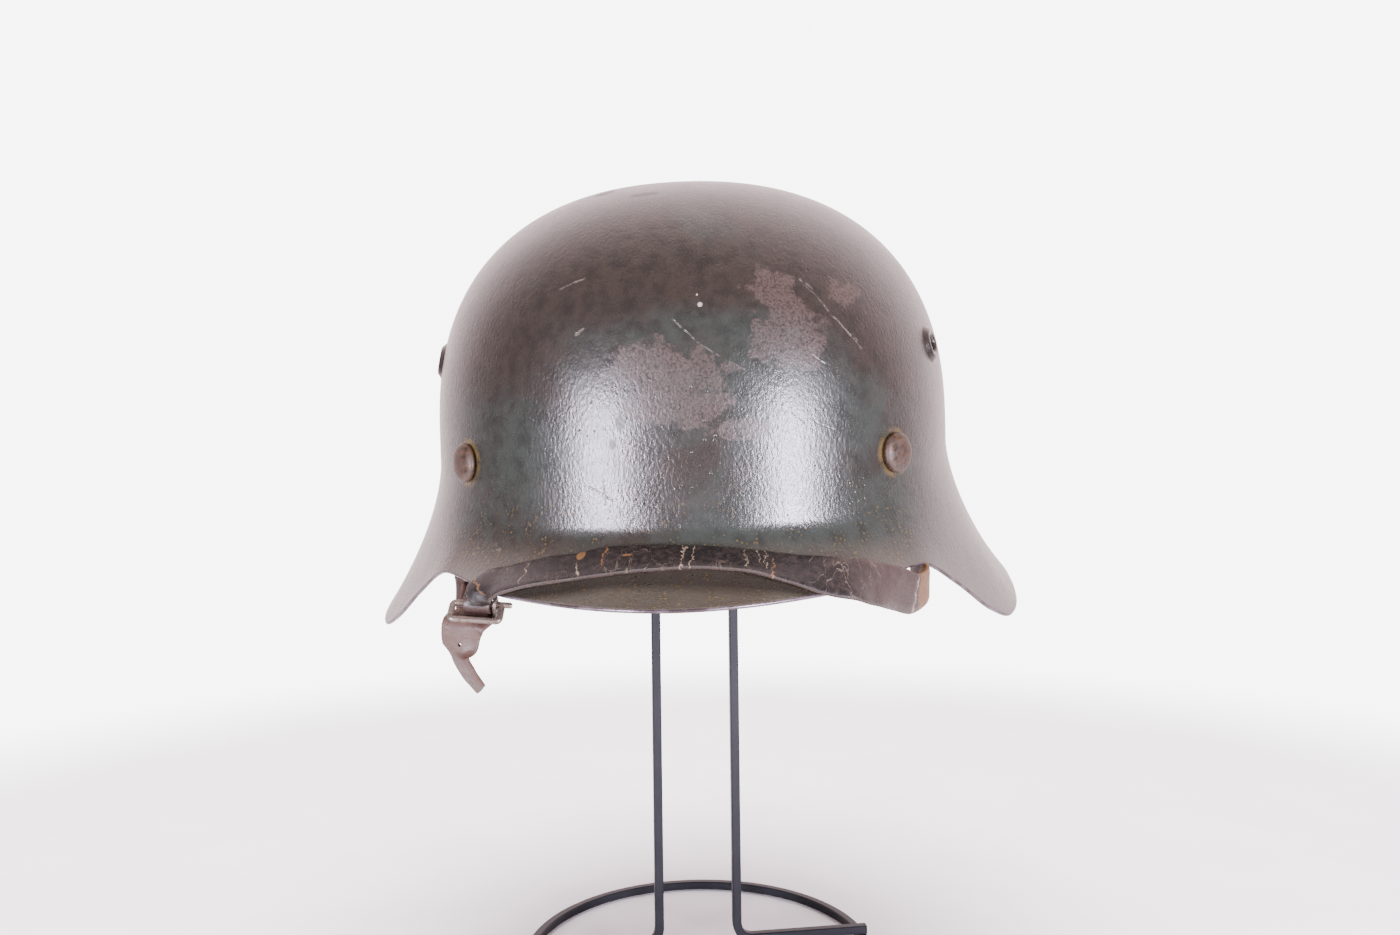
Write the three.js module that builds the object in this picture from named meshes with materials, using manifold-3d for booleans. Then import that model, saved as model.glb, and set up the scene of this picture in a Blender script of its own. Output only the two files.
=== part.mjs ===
// Steel helmet with a visor, flared skirt and leather chin strap, on a bent wire stand.
// Millimetres, +Z up, front towards -Y, origin on the floor under the middle of the whole.
import * as THREE from 'three';
import { mergeVertices } from 'three/addons/utils/BufferGeometryUtils.js';
import Module from 'manifold-3d';

const wasm = await Module();
wasm.setup();

// Helmet bowl
const STEEL = 1.2;
const HALF_WIDTH = 95;
const FRONT_REACH = 99;
const BACK_REACH = 116;
const CROWN_HEIGHT = 163;
const DOME_START = 72;
const PLAN_FULLNESS = 2.12;
const DOME_FULLNESS = 2.42;

// Visor and skirt
const FLARE_REACH = 30;
const VISOR_CURVE = 2;
const NOTCH_CURVE = 1.7;
const SKIRT_CURVE = 1.56;
const NOTCH_RISE = 28;
const VISOR_DROP = 28;
const BROW_DROP = 27;
const NOTCH_DROP = 15;
const SKIRT_DROP = 4;

// How the helmet sits on its stand
const HELMET_LIFT = 133.4;
const HELMET_SIDESTEP = 1.8;
const TILT_FORWARD = 2.4;
const LEAN_LEFT = 0.65;

// Rivets and vents
const RIVET_AZIMUTH = 44.8;
const RIVET_HEIGHT = 63.2;
const RIVET_HEAD = 13;
const RIVET_DOME = 2.8;
const RIVET_EDGE = 0.84;
const RIVET_SHANK = 4;
const CLINCH = 9;
const CLINCH_THICKNESS = 0.8;
const VENT_RIGHT_AZIMUTH = 64.5;
const VENT_LEFT_AZIMUTH = -71;
const VENT_HEIGHT = 99.5;
const VENT_RING = 12.4;
const VENT_HOLE = 5.6;
const VENT_RAISE = 1.5;

// Inner band and strap bails
const CLEARANCE = 0.35;
const BAND_GAP = 0.5;
const BAND_THICKNESS = 0.8;
const BAND_HEIGHT = 20;
const BAIL_WIRE = 2.6;
const BAIL_AZIMUTH = 57;
const BAIL_DROP = 26;
const BAIL_SPREAD = 20;
const BAIL_LUG_AZIMUTH = 68;
const BAIL_PULL = 37;
const SOLDER_SINK = 0.4;
const LUG_RISE = 6;

// Chin strap
const STRAP_WIDTH = 13.5;
const STRAP_THICKNESS = 2.1;
const EYE_WALL = 1.6;
const EYELET = 2.4;
const EYE_LENGTH = 11;
const EYE_LEAD = 5;
const GATHERED_WIDTH = 8.1;
const SPARE_HOLE = 1.5;

// Buckle
const BUCKLE_WIDTH = 17;
const BUCKLE_DEPTH = 6;
const BUCKLE_WIRE = 2;
const BAR_OVERHANG = 2;
const PRONG_WIRE = 1.3;
const PRONG_SHIFT = 5.4;
const BUCKLE_AZIMUTH = -31.7;
const BUCKLE_OUT = 1.35;
const BUCKLE_UNDER = 4.6;

// Stand
const ROD = 3.4;
const RING_RADIUS = 66;
const UPRIGHT_SPACING = 30.6;
const FOOT_BEND = 7;
const STAND_TURN = 12;
const TOP_RING_RADIUS = 34;
const WELD_SINK = 0.1;

// Fineness of the facets
const COLUMNS = 72;
const DOME_ROWS = 10;
const WALL_ROWS = 1;
const FLARE_ROWS = 7;
const BAND_COLUMNS = 40;
const RIVET_SIDES = 16;
const RIVET_STEPS = 3;
const WIRE_SIDES = 8;
const VENT_SIDES = 16;

// The rim, from the front centre line to the rear one. Azimuth in degrees, flare as a share
// of FLARE_REACH, rise as a share of NOTCH_RISE above the lowest level of the skirt.
const RIM = [
  { azimuth: 0, flare: 0.883, rise: 0.815 },
  { azimuth: 25, flare: 0.56, rise: 0.868 },
  { azimuth: 45, flare: 0.313, rise: 1.0 },
  { azimuth: 56, flare: 0.4, rise: 0.686 },
  { azimuth: 66, flare: 0.6, rise: 0.28 },
  { azimuth: 73, flare: 0.74, rise: 0.14 },
  { azimuth: 82, flare: 0.83, rise: 0.2 },
  { azimuth: 92, flare: 0.89, rise: 0.35 },
  { azimuth: 112, flare: 1.03, rise: 0.57 },
  { azimuth: 140, flare: 1.07, rise: 0.7 },
  { azimuth: 180, flare: 1.1, rise: 0.78 },
];

// Where the upright wall ends, as a drop below the dome, and how sharply the flare turns out.
const BEND = [
  { azimuth: 0, drop: VISOR_DROP, curve: VISOR_CURVE },
  { azimuth: 25, drop: BROW_DROP, curve: VISOR_CURVE },
  { azimuth: 56, drop: NOTCH_DROP, curve: NOTCH_CURVE },
  { azimuth: 92, drop: SKIRT_DROP, curve: SKIRT_CURVE },
  { azimuth: 180, drop: SKIRT_DROP, curve: SKIRT_CURVE },
];

const radians = THREE.MathUtils.degToRad;
const UP = new THREE.Vector3(0, 0, 1);

// Smooth curve through one column of a table that is symmetric at both of its ends.
function column(rows, key, azimuth) {
  const a = Math.abs(azimuth);
  let i = 0;
  while (i < rows.length - 2 && a > rows[i + 1].azimuth) i += 1;
  const slope = (k) => {
    if (k < 0 || k > rows.length - 2) return 0;
    return (rows[k + 1][key] - rows[k][key]) / (rows[k + 1].azimuth - rows[k].azimuth);
  };
  const tangent = (k) => {
    const before = slope(k - 1);
    const after = slope(k);
    return before * after > 0 ? (2 * before * after) / (before + after) : 0;
  };
  const span = rows[i + 1].azimuth - rows[i].azimuth;
  const t = (a - rows[i].azimuth) / span;
  const from = rows[i][key];
  const to = rows[i + 1][key];
  const ease = t * t * (3 - 2 * t);
  const leave = t * (1 - t) * (1 - t) * span * tangent(i);
  const arrive = t * t * (1 - t) * span * tangent(i + 1);
  return from + (to - from) * ease + leave - arrive;
}

const rimFlare = (azimuth) => FLARE_REACH * column(RIM, 'flare', azimuth);
const rimHeight = (azimuth) => NOTCH_RISE * column(RIM, 'rise', azimuth);
const bendHeight = (azimuth) => DOME_START - column(BEND, 'drop', azimuth);

// Radius of the bowl's wall in plan.
function waistRadius(azimuth) {
  const across = Math.abs(Math.sin(radians(azimuth))) / HALF_WIDTH;
  const forward = Math.cos(radians(azimuth));
  const along = Math.abs(forward) / (forward > 0 ? FRONT_REACH : BACK_REACH);
  return (across ** PLAN_FULLNESS + along ** PLAN_FULLNESS) ** (-1 / PLAN_FULLNESS);
}

function polar(azimuth, radius, height) {
  const a = radians(azimuth);
  return new THREE.Vector3(radius * Math.sin(a), -radius * Math.cos(a), height);
}

// Point of the outer face. Stage 0 to 1 is the dome from its pole, 1 to 2 the wall,
// 2 to 3 the flare down to the rim.
function shellPoint(azimuth, stage) {
  const waist = waistRadius(azimuth);
  if (stage <= 1) {
    const angle = (stage * Math.PI) / 2;
    const power = 2 / DOME_FULLNESS;
    const climb = (CROWN_HEIGHT - DOME_START) * Math.cos(angle) ** power;
    return polar(azimuth, waist * Math.sin(angle) ** power, DOME_START + (stage === 1 ? 0 : climb));
  }
  const bend = bendHeight(azimuth);
  if (stage <= 2) {
    return polar(azimuth, waist, THREE.MathUtils.lerp(DOME_START, bend, stage - 1));
  }
  const down = stage - 2;
  const radius = waist + rimFlare(azimuth) * down ** column(BEND, 'curve', azimuth);
  return polar(azimuth, radius, THREE.MathUtils.lerp(bend, rimHeight(azimuth), down));
}

function shellNormal(azimuth, stage) {
  if (stage < 0.01) return UP.clone();
  const step = 0.01;
  const above = shellPoint(azimuth, Math.max(stage - step, 0.001));
  const below = shellPoint(azimuth, Math.min(stage + step, 3));
  const before = shellPoint(azimuth - 0.5, stage);
  const after = shellPoint(azimuth + 0.5, stage);
  const normal = below.sub(above).cross(after.sub(before));
  return normal.normalize();
}

function wallStage(azimuth, height) {
  const bend = bendHeight(azimuth);
  if (height >= DOME_START) {
    const share = (height - DOME_START) / (CROWN_HEIGHT - DOME_START);
    return (2 / Math.PI) * Math.acos(share ** (DOME_FULLNESS / 2));
  }
  if (height >= bend) return 1 + (DOME_START - height) / (DOME_START - bend);
  return 2 + (bend - height) / (bend - rimHeight(azimuth));
}

// Closed mesh from vertices and quads or triangles listed counter-clockwise from outside.
function meshGeometry(points, faces) {
  const geometry = new THREE.BufferGeometry();
  const positions = points.flatMap((p) => [p.x, p.y, p.z]);
  const index = faces.flatMap((f) => (f.length === 3 ? f : [f[0], f[1], f[2], f[0], f[2], f[3]]));
  geometry.setAttribute('position', new THREE.Float32BufferAttribute(positions, 3));
  geometry.setIndex(index);
  return geometry;
}

function toManifold(geometry, matrix = new THREE.Matrix4()) {
  const bare = geometry.clone().applyMatrix4(matrix);
  bare.deleteAttribute('normal');
  bare.deleteAttribute('uv');
  const merged = mergeVertices(bare, 1e-4);
  const vertProperties = new Float32Array(merged.attributes.position.array);
  const triVerts = new Uint32Array(merged.index.array);
  return new wasm.Manifold(new wasm.Mesh({ numProp: 3, vertProperties, triVerts }));
}

function fromManifold(solid) {
  const mesh = solid.getMesh();
  const geometry = new THREE.BufferGeometry();
  geometry.setAttribute('position', new THREE.Float32BufferAttribute(mesh.vertProperties, 3));
  geometry.setIndex(Array.from(mesh.triVerts));
  geometry.computeVertexNormals();
  return geometry;
}

const joined = (solids) => solids.reduce((whole, next) => whole.add(next));

// Frame whose Z axis points along a direction.
function facing(origin, direction) {
  const turn = new THREE.Quaternion().setFromUnitVectors(UP, direction.clone().normalize());
  return new THREE.Matrix4().compose(origin, turn, new THREE.Vector3(1, 1, 1));
}

// Straight round rod between two points.
function rodSolid(from, to, radius) {
  const length = from.distanceTo(to);
  const rod = new THREE.CylinderGeometry(radius, radius, length, WIRE_SIDES);
  rod.rotateX(Math.PI / 2);
  const middle = from.clone().lerp(to, 0.5);
  return toManifold(rod, facing(middle, to.clone().sub(from)));
}

// Ball that fills the corner where two rods meet.
function ballSolid(centre, radius) {
  const ball = new THREE.SphereGeometry(radius, WIRE_SIDES, WIRE_SIDES / 2 + 1);
  return toManifold(ball, new THREE.Matrix4().makeTranslation(centre.x, centre.y, centre.z));
}

// Lathe about Z from [radius, height] pairs.
function turned(profile, segments) {
  const outline = profile.map(([radius, height]) => new THREE.Vector2(radius, height));
  const lathe = new THREE.LatheGeometry(outline, segments);
  lathe.rotateX(Math.PI / 2);
  return lathe;
}

// The pressed steel bowl: outer and inner faces on one grid, joined round the rim.
function bowlSolid() {
  const stages = [];
  for (let i = 1; i <= DOME_ROWS; i += 1) stages.push(i / DOME_ROWS);
  for (let i = 1; i <= WALL_ROWS; i += 1) stages.push(1 + i / WALL_ROWS);
  for (let i = 1; i <= FLARE_ROWS; i += 1) stages.push(2 + i / FLARE_ROWS);
  const points = [];
  const faces = [];
  const addSkin = (inset) => {
    const pole = points.length;
    points.push(new THREE.Vector3(0, 0, CROWN_HEIGHT - inset));
    for (const stage of stages) {
      for (let c = 0; c < COLUMNS; c += 1) {
        const azimuth = (c * 360) / COLUMNS - 180;
        const point = shellPoint(azimuth, stage);
        points.push(point.addScaledVector(shellNormal(azimuth, stage), -inset));
      }
    }
    return pole;
  };
  const outer = addSkin(0);
  const inner = addSkin(STEEL);
  const at = (pole, row, c) => pole + 1 + row * COLUMNS + (c % COLUMNS);
  for (let c = 0; c < COLUMNS; c += 1) {
    faces.push([outer, at(outer, 0, c), at(outer, 0, c + 1)]);
    faces.push([inner, at(inner, 0, c + 1), at(inner, 0, c)]);
    for (let row = 0; row < stages.length - 1; row += 1) {
      faces.push([at(outer, row, c), at(outer, row + 1, c),
        at(outer, row + 1, c + 1), at(outer, row, c + 1)]);
      faces.push([at(inner, row, c + 1), at(inner, row + 1, c + 1),
        at(inner, row + 1, c), at(inner, row, c)]);
    }
    const last = stages.length - 1;
    faces.push([at(outer, last, c), at(inner, last, c),
      at(inner, last, c + 1), at(outer, last, c + 1)]);
  }
  return toManifold(meshGeometry(points, faces));
}

function surfaceFrame(azimuth, height) {
  const stage = wallStage(azimuth, height);
  return facing(shellPoint(azimuth, stage), shellNormal(azimuth, stage));
}

// A rivet's axis is level, whatever the slope of the wall under its head.
function rivetFrame(azimuth) {
  const stage = wallStage(azimuth, RIVET_HEIGHT);
  const outward = shellNormal(azimuth, stage).setZ(0);
  return facing(shellPoint(azimuth, stage), outward);
}

// How far the head's flat underside stands off, clear of the wall under its edge.
function rivetSeat(azimuth) {
  const inverse = rivetFrame(azimuth).invert();
  let highest = 0;
  for (let turn = 0; turn < 360; turn += 30) {
    const height = RIVET_HEIGHT + (RIVET_HEAD / 2) * Math.sin(radians(turn));
    const swing = ((RIVET_HEAD / 2) * Math.cos(radians(turn))) / radians(waistRadius(azimuth));
    const edge = shellPoint(azimuth + swing, wallStage(azimuth + swing, height));
    highest = Math.max(highest, edge.applyMatrix4(inverse).z);
  }
  return highest + CLEARANCE;
}

// Vent: the steel pressed out into a ring round a small hole.
function ventRing() {
  const outer = VENT_RING / 2;
  const hole = VENT_HOLE / 2;
  const crest = (outer + hole) / 2;
  return turned([
    [0, -STEEL / 2], [outer, -STEEL / 2], [outer - 0.2 * crest, VENT_RAISE * 0.55],
    [crest, VENT_RAISE], [0.9 * hole, VENT_RAISE * 0.75], [0, VENT_RAISE * 0.75],
  ], VENT_SIDES);
}

function drill(diameter, depth) {
  const cutter = new THREE.CylinderGeometry(diameter / 2, diameter / 2, depth, VENT_SIDES);
  return cutter.rotateX(Math.PI / 2);
}

const RIVETS = [
  { name: 'rivet_front_right', azimuth: RIVET_AZIMUTH },
  { name: 'rivet_front_left', azimuth: -RIVET_AZIMUTH },
  { name: 'rivet_rear', azimuth: 180 },
];
const RIVET_HOLE = RIVET_SHANK + 2 * CLEARANCE;

function shellGeometry() {
  let shell = bowlSolid();
  for (const azimuth of [VENT_RIGHT_AZIMUTH, VENT_LEFT_AZIMUTH]) {
    const frame = surfaceFrame(azimuth, VENT_HEIGHT);
    shell = shell.add(toManifold(ventRing(), frame));
    shell = shell.subtract(toManifold(drill(VENT_HOLE, 12), frame));
  }
  for (const rivet of RIVETS) {
    const frame = rivetFrame(rivet.azimuth);
    shell = shell.subtract(toManifold(drill(RIVET_HOLE, RIVET_HEAD), frame));
  }
  return fromManifold(shell);
}

// Domed head outside, shank through steel and band, clinched end inside. Z is outwards.
function rivetGeometry(azimuth) {
  const head = RIVET_HEAD / 2;
  const shank = RIVET_SHANK / 2;
  const seat = rivetSeat(azimuth);
  const wall = shellPoint(azimuth, wallStage(azimuth, RIVET_HEIGHT)).setZ(0).length();
  const bandInside = wall - bandRadius(azimuth) + BAND_THICKNESS;
  const clinchTop = -bandInside - 2 * CLEARANCE;
  const profile = [[0, clinchTop - CLINCH_THICKNESS], [CLINCH / 2, clinchTop - CLINCH_THICKNESS],
    [CLINCH / 2, clinchTop], [shank, clinchTop], [shank, seat], [head, seat]];
  for (let i = 0; i < RIVET_STEPS; i += 1) {
    const angle = (i * Math.PI) / 2 / RIVET_STEPS;
    const rise = RIVET_EDGE + (RIVET_DOME - RIVET_EDGE) * Math.sin(angle);
    profile.push([head * Math.cos(angle), seat + rise]);
  }
  profile.push([0, seat + RIVET_DOME]);
  return turned(profile, RIVET_SIDES);
}

// Band of thin steel held by the rivets inside the bowl.
const bandRadius = (azimuth) => waistRadius(azimuth) - STEEL - BAND_GAP;
const BAND_BOTTOM = RIVET_HEIGHT - BAND_HEIGHT / 2;

function bandSolid() {
  const points = [];
  const faces = [];
  for (let c = 0; c < BAND_COLUMNS; c += 1) {
    const azimuth = (c * 360) / BAND_COLUMNS;
    const radius = bandRadius(azimuth);
    points.push(polar(azimuth, radius, BAND_BOTTOM), polar(azimuth, radius, BAND_BOTTOM + BAND_HEIGHT));
    const inside = radius - BAND_THICKNESS;
    points.push(polar(azimuth, inside, BAND_BOTTOM + BAND_HEIGHT), polar(azimuth, inside, BAND_BOTTOM));
  }
  for (let c = 0; c < BAND_COLUMNS; c += 1) {
    const here = c * 4;
    const next = ((c + 1) % BAND_COLUMNS) * 4;
    for (let k = 0; k < 4; k += 1) {
      const k2 = (k + 1) % 4;
      faces.push([here + k, next + k, next + k2, here + k2]);
    }
  }
  return toManifold(meshGeometry(points, faces));
}

// Radius at which the bail's wire sinks slightly into the inside of the band.
const solderRadius = (azimuth) => bandRadius(azimuth) - BAND_THICKNESS - BAIL_WIRE / 2 + SOLDER_SINK;

// Bail: a wire triangle soldered to the band, its outer bar square to the strap's pull.
function bail(side) {
  const centre = polar(side * BAIL_AZIMUTH, solderRadius(BAIL_AZIMUTH), RIVET_HEIGHT - BAIL_DROP);
  const outward = polar(side * BAIL_AZIMUTH, 1, 0);
  const rearward = UP.clone().cross(outward).multiplyScalar(side);
  const pull = rearward.clone().multiplyScalar(-Math.cos(radians(BAIL_PULL)));
  pull.addScaledVector(UP, -Math.sin(radians(BAIL_PULL)));
  const along = rearward.clone().multiplyScalar(Math.sin(radians(BAIL_PULL)));
  along.addScaledVector(UP, -Math.cos(radians(BAIL_PULL)));
  const top = centre.clone().addScaledVector(along, -BAIL_SPREAD / 2);
  const foot = centre.clone().addScaledVector(along, BAIL_SPREAD / 2);
  const lugRadius = solderRadius(BAIL_LUG_AZIMUTH);
  const lug = polar(side * BAIL_LUG_AZIMUTH, lugRadius, BAND_BOTTOM + LUG_RISE);
  return { centre, outward, pull, along, top, foot, lug };
}

function bandGeometry() {
  let band = bandSolid();
  for (const rivet of RIVETS) {
    const frame = rivetFrame(rivet.azimuth);
    band = band.subtract(toManifold(drill(RIVET_HOLE, RIVET_HEAD), frame));
  }
  for (const side of [1, -1]) {
    const { top, foot, lug } = bail(side);
    for (const [from, to] of [[lug, top], [top, foot], [foot, lug]]) {
      band = band.add(rodSolid(from, to, BAIL_WIRE / 2));
    }
    for (const corner of [top, foot, lug]) band = band.add(ballSolid(corner, BAIL_WIRE / 2));
  }
  return fromManifold(band);
}

// Leather ribbon through stations of centre, across (unit, along the width), width and
// thickness. Its section is a rectangle square to the path.
function ribbonSolid(stations, stepsPerSpan = 3) {
  const spans = stations.length - 1;
  const path = new THREE.CatmullRomCurve3(stations.map((s) => s.centre), false, 'centripetal');
  const count = spans * stepsPerSpan;
  const points = [];
  const faces = [];
  for (let i = 0; i <= count; i += 1) {
    const t = i / count;
    const k = Math.min(Math.floor(t * spans), spans - 1);
    const local = t * spans - k;
    const here = stations[k];
    const next = stations[k + 1];
    const centre = path.getPoint(t);
    const tangent = path.getTangent(t);
    const ease = local * local * (3 - 2 * local);
    const across = here.across.clone().lerp(next.across, ease);
    across.addScaledVector(tangent, -across.dot(tangent)).normalize();
    const normal = new THREE.Vector3().crossVectors(tangent, across).normalize();
    const half = THREE.MathUtils.lerp(here.width, next.width, local) / 2;
    const thin = THREE.MathUtils.lerp(here.thickness, next.thickness, local) / 2;
    for (const [a, n] of [[-half, -thin], [half, -thin], [half, thin], [-half, thin]]) {
      points.push(centre.clone().addScaledVector(across, a).addScaledVector(normal, n));
    }
  }
  for (let i = 0; i < count; i += 1) {
    for (let k = 0; k < 4; k += 1) {
      const k2 = (k + 1) % 4;
      faces.push([i * 4 + k, i * 4 + k2, i * 4 + 4 + k2, i * 4 + 4 + k]);
    }
  }
  faces.push([3, 2, 1, 0]);
  const end = count * 4;
  faces.push([end, end + 1, end + 2, end + 3]);
  return toManifold(meshGeometry(points, faces));
}

// Stitched eye round a bar: a short sleeve of leather.
function eyeSolid(centre, axis, barRadius, length, wall) {
  const inner = barRadius + CLEARANCE;
  const outer = inner + wall;
  const half = length / 2;
  const sleeve = turned([[inner, -half], [outer, -half], [outer, half], [inner, half],
    [inner, -half]], 16);
  return toManifold(sleeve, facing(centre, axis));
}

// Where the strap leaves a bail's eye: beside the bar, on its outer side.
function eyeStations(side) {
  const { centre, outward, pull, along } = bail(side);
  const offset = BAIL_WIRE / 2 + CLEARANCE + STRAP_THICKNESS / 2;
  const start = centre.clone().addScaledVector(outward, offset);
  const width = STRAP_WIDTH;
  const thickness = STRAP_THICKNESS;
  return [
    { centre: start, across: along, width, thickness },
    { centre: start.clone().addScaledVector(pull, EYE_LEAD), across: along, width, thickness },
  ];
}

// Stations of the strap over the visor, from the right notch to the left. Seated rows give
// the upper edge's place down the flare; free rows give the middle's place out from the rim
// and over it, as shares of STRAP_WIDTH. Lean is the fall of the width from level, degrees.
const VISOR_ROUTE = [
  { azimuth: 48.4, out: -0.56, over: -0.12, lean: 86 },
  { azimuth: 44.8, out: -0.1, over: -0.62, lean: 90, broad: 0.86 },
  { azimuth: 41.4, out: 0.17, over: -0.56, lean: 94, broad: 0.92 },
  { azimuth: 37, out: 0.17, over: -0.34, lean: 93 },
  { azimuth: 31, out: 0.19, over: 0.02, lean: 76 },
  { azimuth: 26, out: 0.15, over: 0.26, lean: 52 },
  { azimuth: 18.2, down: 0.525, lean: 31 },
  { azimuth: 11.4, down: 0.425, lean: 20 },
  { azimuth: 4.8, down: 0.364, lean: 19 },
  { azimuth: -2.6, down: 0.335, lean: 24 },
  { azimuth: -10.1, down: 0.361, lean: 30 },
  { azimuth: -15.1, down: 0.458, lean: 28 },
  { azimuth: -20.9, down: 0.543, lean: 30 },
  { azimuth: -26.2, down: 0.669, lean: 33 },
];

function routeStation(row) {
  const outward = polar(row.azimuth, 1, 0);
  const lean = radians(row.lean);
  const across = outward.clone().multiplyScalar(Math.cos(lean)).addScaledVector(UP, -Math.sin(lean));
  const face = outward.clone().multiplyScalar(Math.sin(lean)).addScaledVector(UP, Math.cos(lean));
  const width = STRAP_WIDTH * (row.broad ?? 1);
  const size = { across, width, thickness: STRAP_THICKNESS };
  if (row.down !== undefined) {
    const stage = 2 + row.down;
    const seat = shellPoint(row.azimuth, stage);
    seat.addScaledVector(shellNormal(row.azimuth, stage), CLEARANCE);
    seat.addScaledVector(across, width / 2).addScaledVector(face, STRAP_THICKNESS / 2);
    return { centre: seat, ...size };
  }
  const radius = waistRadius(row.azimuth) + rimFlare(row.azimuth) + row.out * STRAP_WIDTH;
  const height = rimHeight(row.azimuth) + row.over * STRAP_WIDTH;
  return { centre: polar(row.azimuth, radius, height), ...size };
}

// Buckle frame of reference: origin at the middle of its top bar, X along the bar,
// Y up the frame away from its lower bar, Z out of its upper face.
const ALONG_BAR = new THREE.Vector3(0.99, 0.08, -0.09);
const UP_FRAME = new THREE.Vector3(0.22, 0.7, 0.68);

function buckleFrame() {
  const radius = waistRadius(BUCKLE_AZIMUTH) + rimFlare(BUCKLE_AZIMUTH) + BUCKLE_OUT;
  const origin = polar(BUCKLE_AZIMUTH, radius, rimHeight(BUCKLE_AZIMUTH) - BUCKLE_UNDER);
  const x = ALONG_BAR.clone().normalize();
  const y = UP_FRAME.clone();
  y.addScaledVector(x, -y.dot(x)).normalize();
  const z = x.clone().cross(y);
  const matrix = new THREE.Matrix4().makeBasis(x, y, z).setPosition(origin);
  return { matrix, x, y, z, place: (a, b, c) => new THREE.Vector3(a, b, c).applyMatrix4(matrix) };
}

function buckleGeometry() {
  const half = BUCKLE_WIDTH / 2 - BUCKLE_WIRE / 2;
  const wire = BUCKLE_WIRE / 2;
  const corners = [[-half, 0], [-half, -BUCKLE_DEPTH], [half, -BUCKLE_DEPTH], [half, 0]];
  const points = corners.map(([a, b]) => new THREE.Vector3(a, b, 0));
  const solids = points.map((p, i) => rodSolid(p, points[(i + 1) % 4], wire));
  for (const p of points) solids.push(ballSolid(p, wire));
  const barEnd = new THREE.Vector3(half + wire + BAR_OVERHANG, 0, 0);
  solids.push(rodSolid(points[3], barEnd, wire));
  return fromManifold(joined(solids));
}

// The prong: a wire eye on the top bar and a pin that drops through the tail's eyelet.
const PRONG_LINE = -BUCKLE_WIRE / 2 - CLEARANCE - PRONG_WIRE / 2;
const UNDER_TOP_BAR = BUCKLE_WIRE / 2 + EYE_WALL + 3 * CLEARANCE + STRAP_THICKNESS / 2;
const UNDER_LOW_BAR = BUCKLE_WIRE / 2 + 3 * CLEARANCE + STRAP_THICKNESS / 2;

function prongGeometry() {
  const centre = new THREE.Vector3(PRONG_SHIFT, 0, 0);
  const eye = eyeSolid(centre, new THREE.Vector3(1, 0, 0), BUCKLE_WIRE / 2, PRONG_WIRE, PRONG_WIRE);
  const reach = UNDER_TOP_BAR + STRAP_THICKNESS / 2 + CLEARANCE;
  const start = new THREE.Vector3(PRONG_SHIFT, PRONG_LINE, 0);
  const tip = start.clone().add(new THREE.Vector3(0, 0, -reach));
  return fromManifold(joined([eye, rodSolid(start, tip, PRONG_WIRE / 2),
    ballSolid(tip, PRONG_WIRE / 2), ballSolid(start, PRONG_WIRE / 2)]));
}

// Long strap: right bail, under the notch, over the visor, gathered round the buckle's bar.
// Gathering: places from the bar's middle in helmet directions, as shares of STRAP_WIDTH,
// with the width's own direction; broad is the width's share.
const GATHER = [
  { x: 0.23, y: -0.21, z: 0.4, across: [0.3, -0.72, -0.62], broad: 0.95 },
  { x: 0.06, y: -0.23, z: 0.23, across: [0.72, -0.42, -0.55], broad: 0.76 },
];

function longStrapGeometry() {
  const buckle = buckleFrame();
  const bar = buckle.place(0, 0, 0);
  const eyeRadius = BUCKLE_WIRE / 2 + CLEARANCE + EYE_WALL / 2;
  const stations = [...eyeStations(1), ...VISOR_ROUTE.map(routeStation)];
  for (const row of GATHER) {
    const centre = bar.clone().add(new THREE.Vector3(row.x, row.y, row.z).multiplyScalar(STRAP_WIDTH));
    const across = new THREE.Vector3(...row.across).normalize();
    stations.push({ centre, across, width: STRAP_WIDTH * row.broad, thickness: STRAP_THICKNESS });
  }
  const front = new THREE.Vector3(0, -1, 0);
  front.addScaledVector(buckle.x, -front.dot(buckle.x)).normalize();
  const wrap = bar.clone().addScaledVector(front, eyeRadius);
  stations.push({ centre: wrap, across: buckle.x, width: GATHERED_WIDTH, thickness: EYE_WALL });
  const { centre, along } = bail(1);
  const solids = [ribbonSolid(stations)];
  solids.push(eyeSolid(centre, along, BAIL_WIRE / 2, EYE_LENGTH, STRAP_THICKNESS));
  solids.push(eyeSolid(bar, buckle.x, BUCKLE_WIRE / 2, GATHERED_WIDTH, EYE_WALL));
  return fromManifold(joined(solids));
}

// Tail strap: left bail, under the rim, behind the buckle, hanging free below it.
const TAIL_ROUTE = [
  { azimuth: -48.8, out: -0.66, over: 0.1, lean: 85 },
  { azimuth: -41.4, out: -0.35, over: -0.7, lean: 70 },
];

// Where the tail comes in behind the buckle, shares of STRAP_WIDTH in the buckle's frame,
// and how far its width dips there.
const ENTRY = { x: -0.12, y: 0.5, z: -0.22, dip: 0.7 };
const UNDER_SHIFT = -0.26;

// Hanging part: places from behind the lower bar in helmet directions, shares of
// STRAP_WIDTH; turn swings the width about the upright, degrees; broad is its share.
const TAIL = [
  { x: -0.06, y: -0.02, drop: 0.2, turn: 0, broad: 0.9 },
  { x: -0.1, y: 0.02, drop: 0.44, turn: -10, broad: 0.86 },
  { x: -0.12, y: 0.06, drop: 0.76, turn: -52, broad: 0.8 },
  { x: 0.08, y: 0.02, drop: 1.12, turn: -50, broad: 0.8 },
  { x: 0.36, y: -0.04, drop: 1.46, turn: -45, broad: 0.42 },
];

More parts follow.
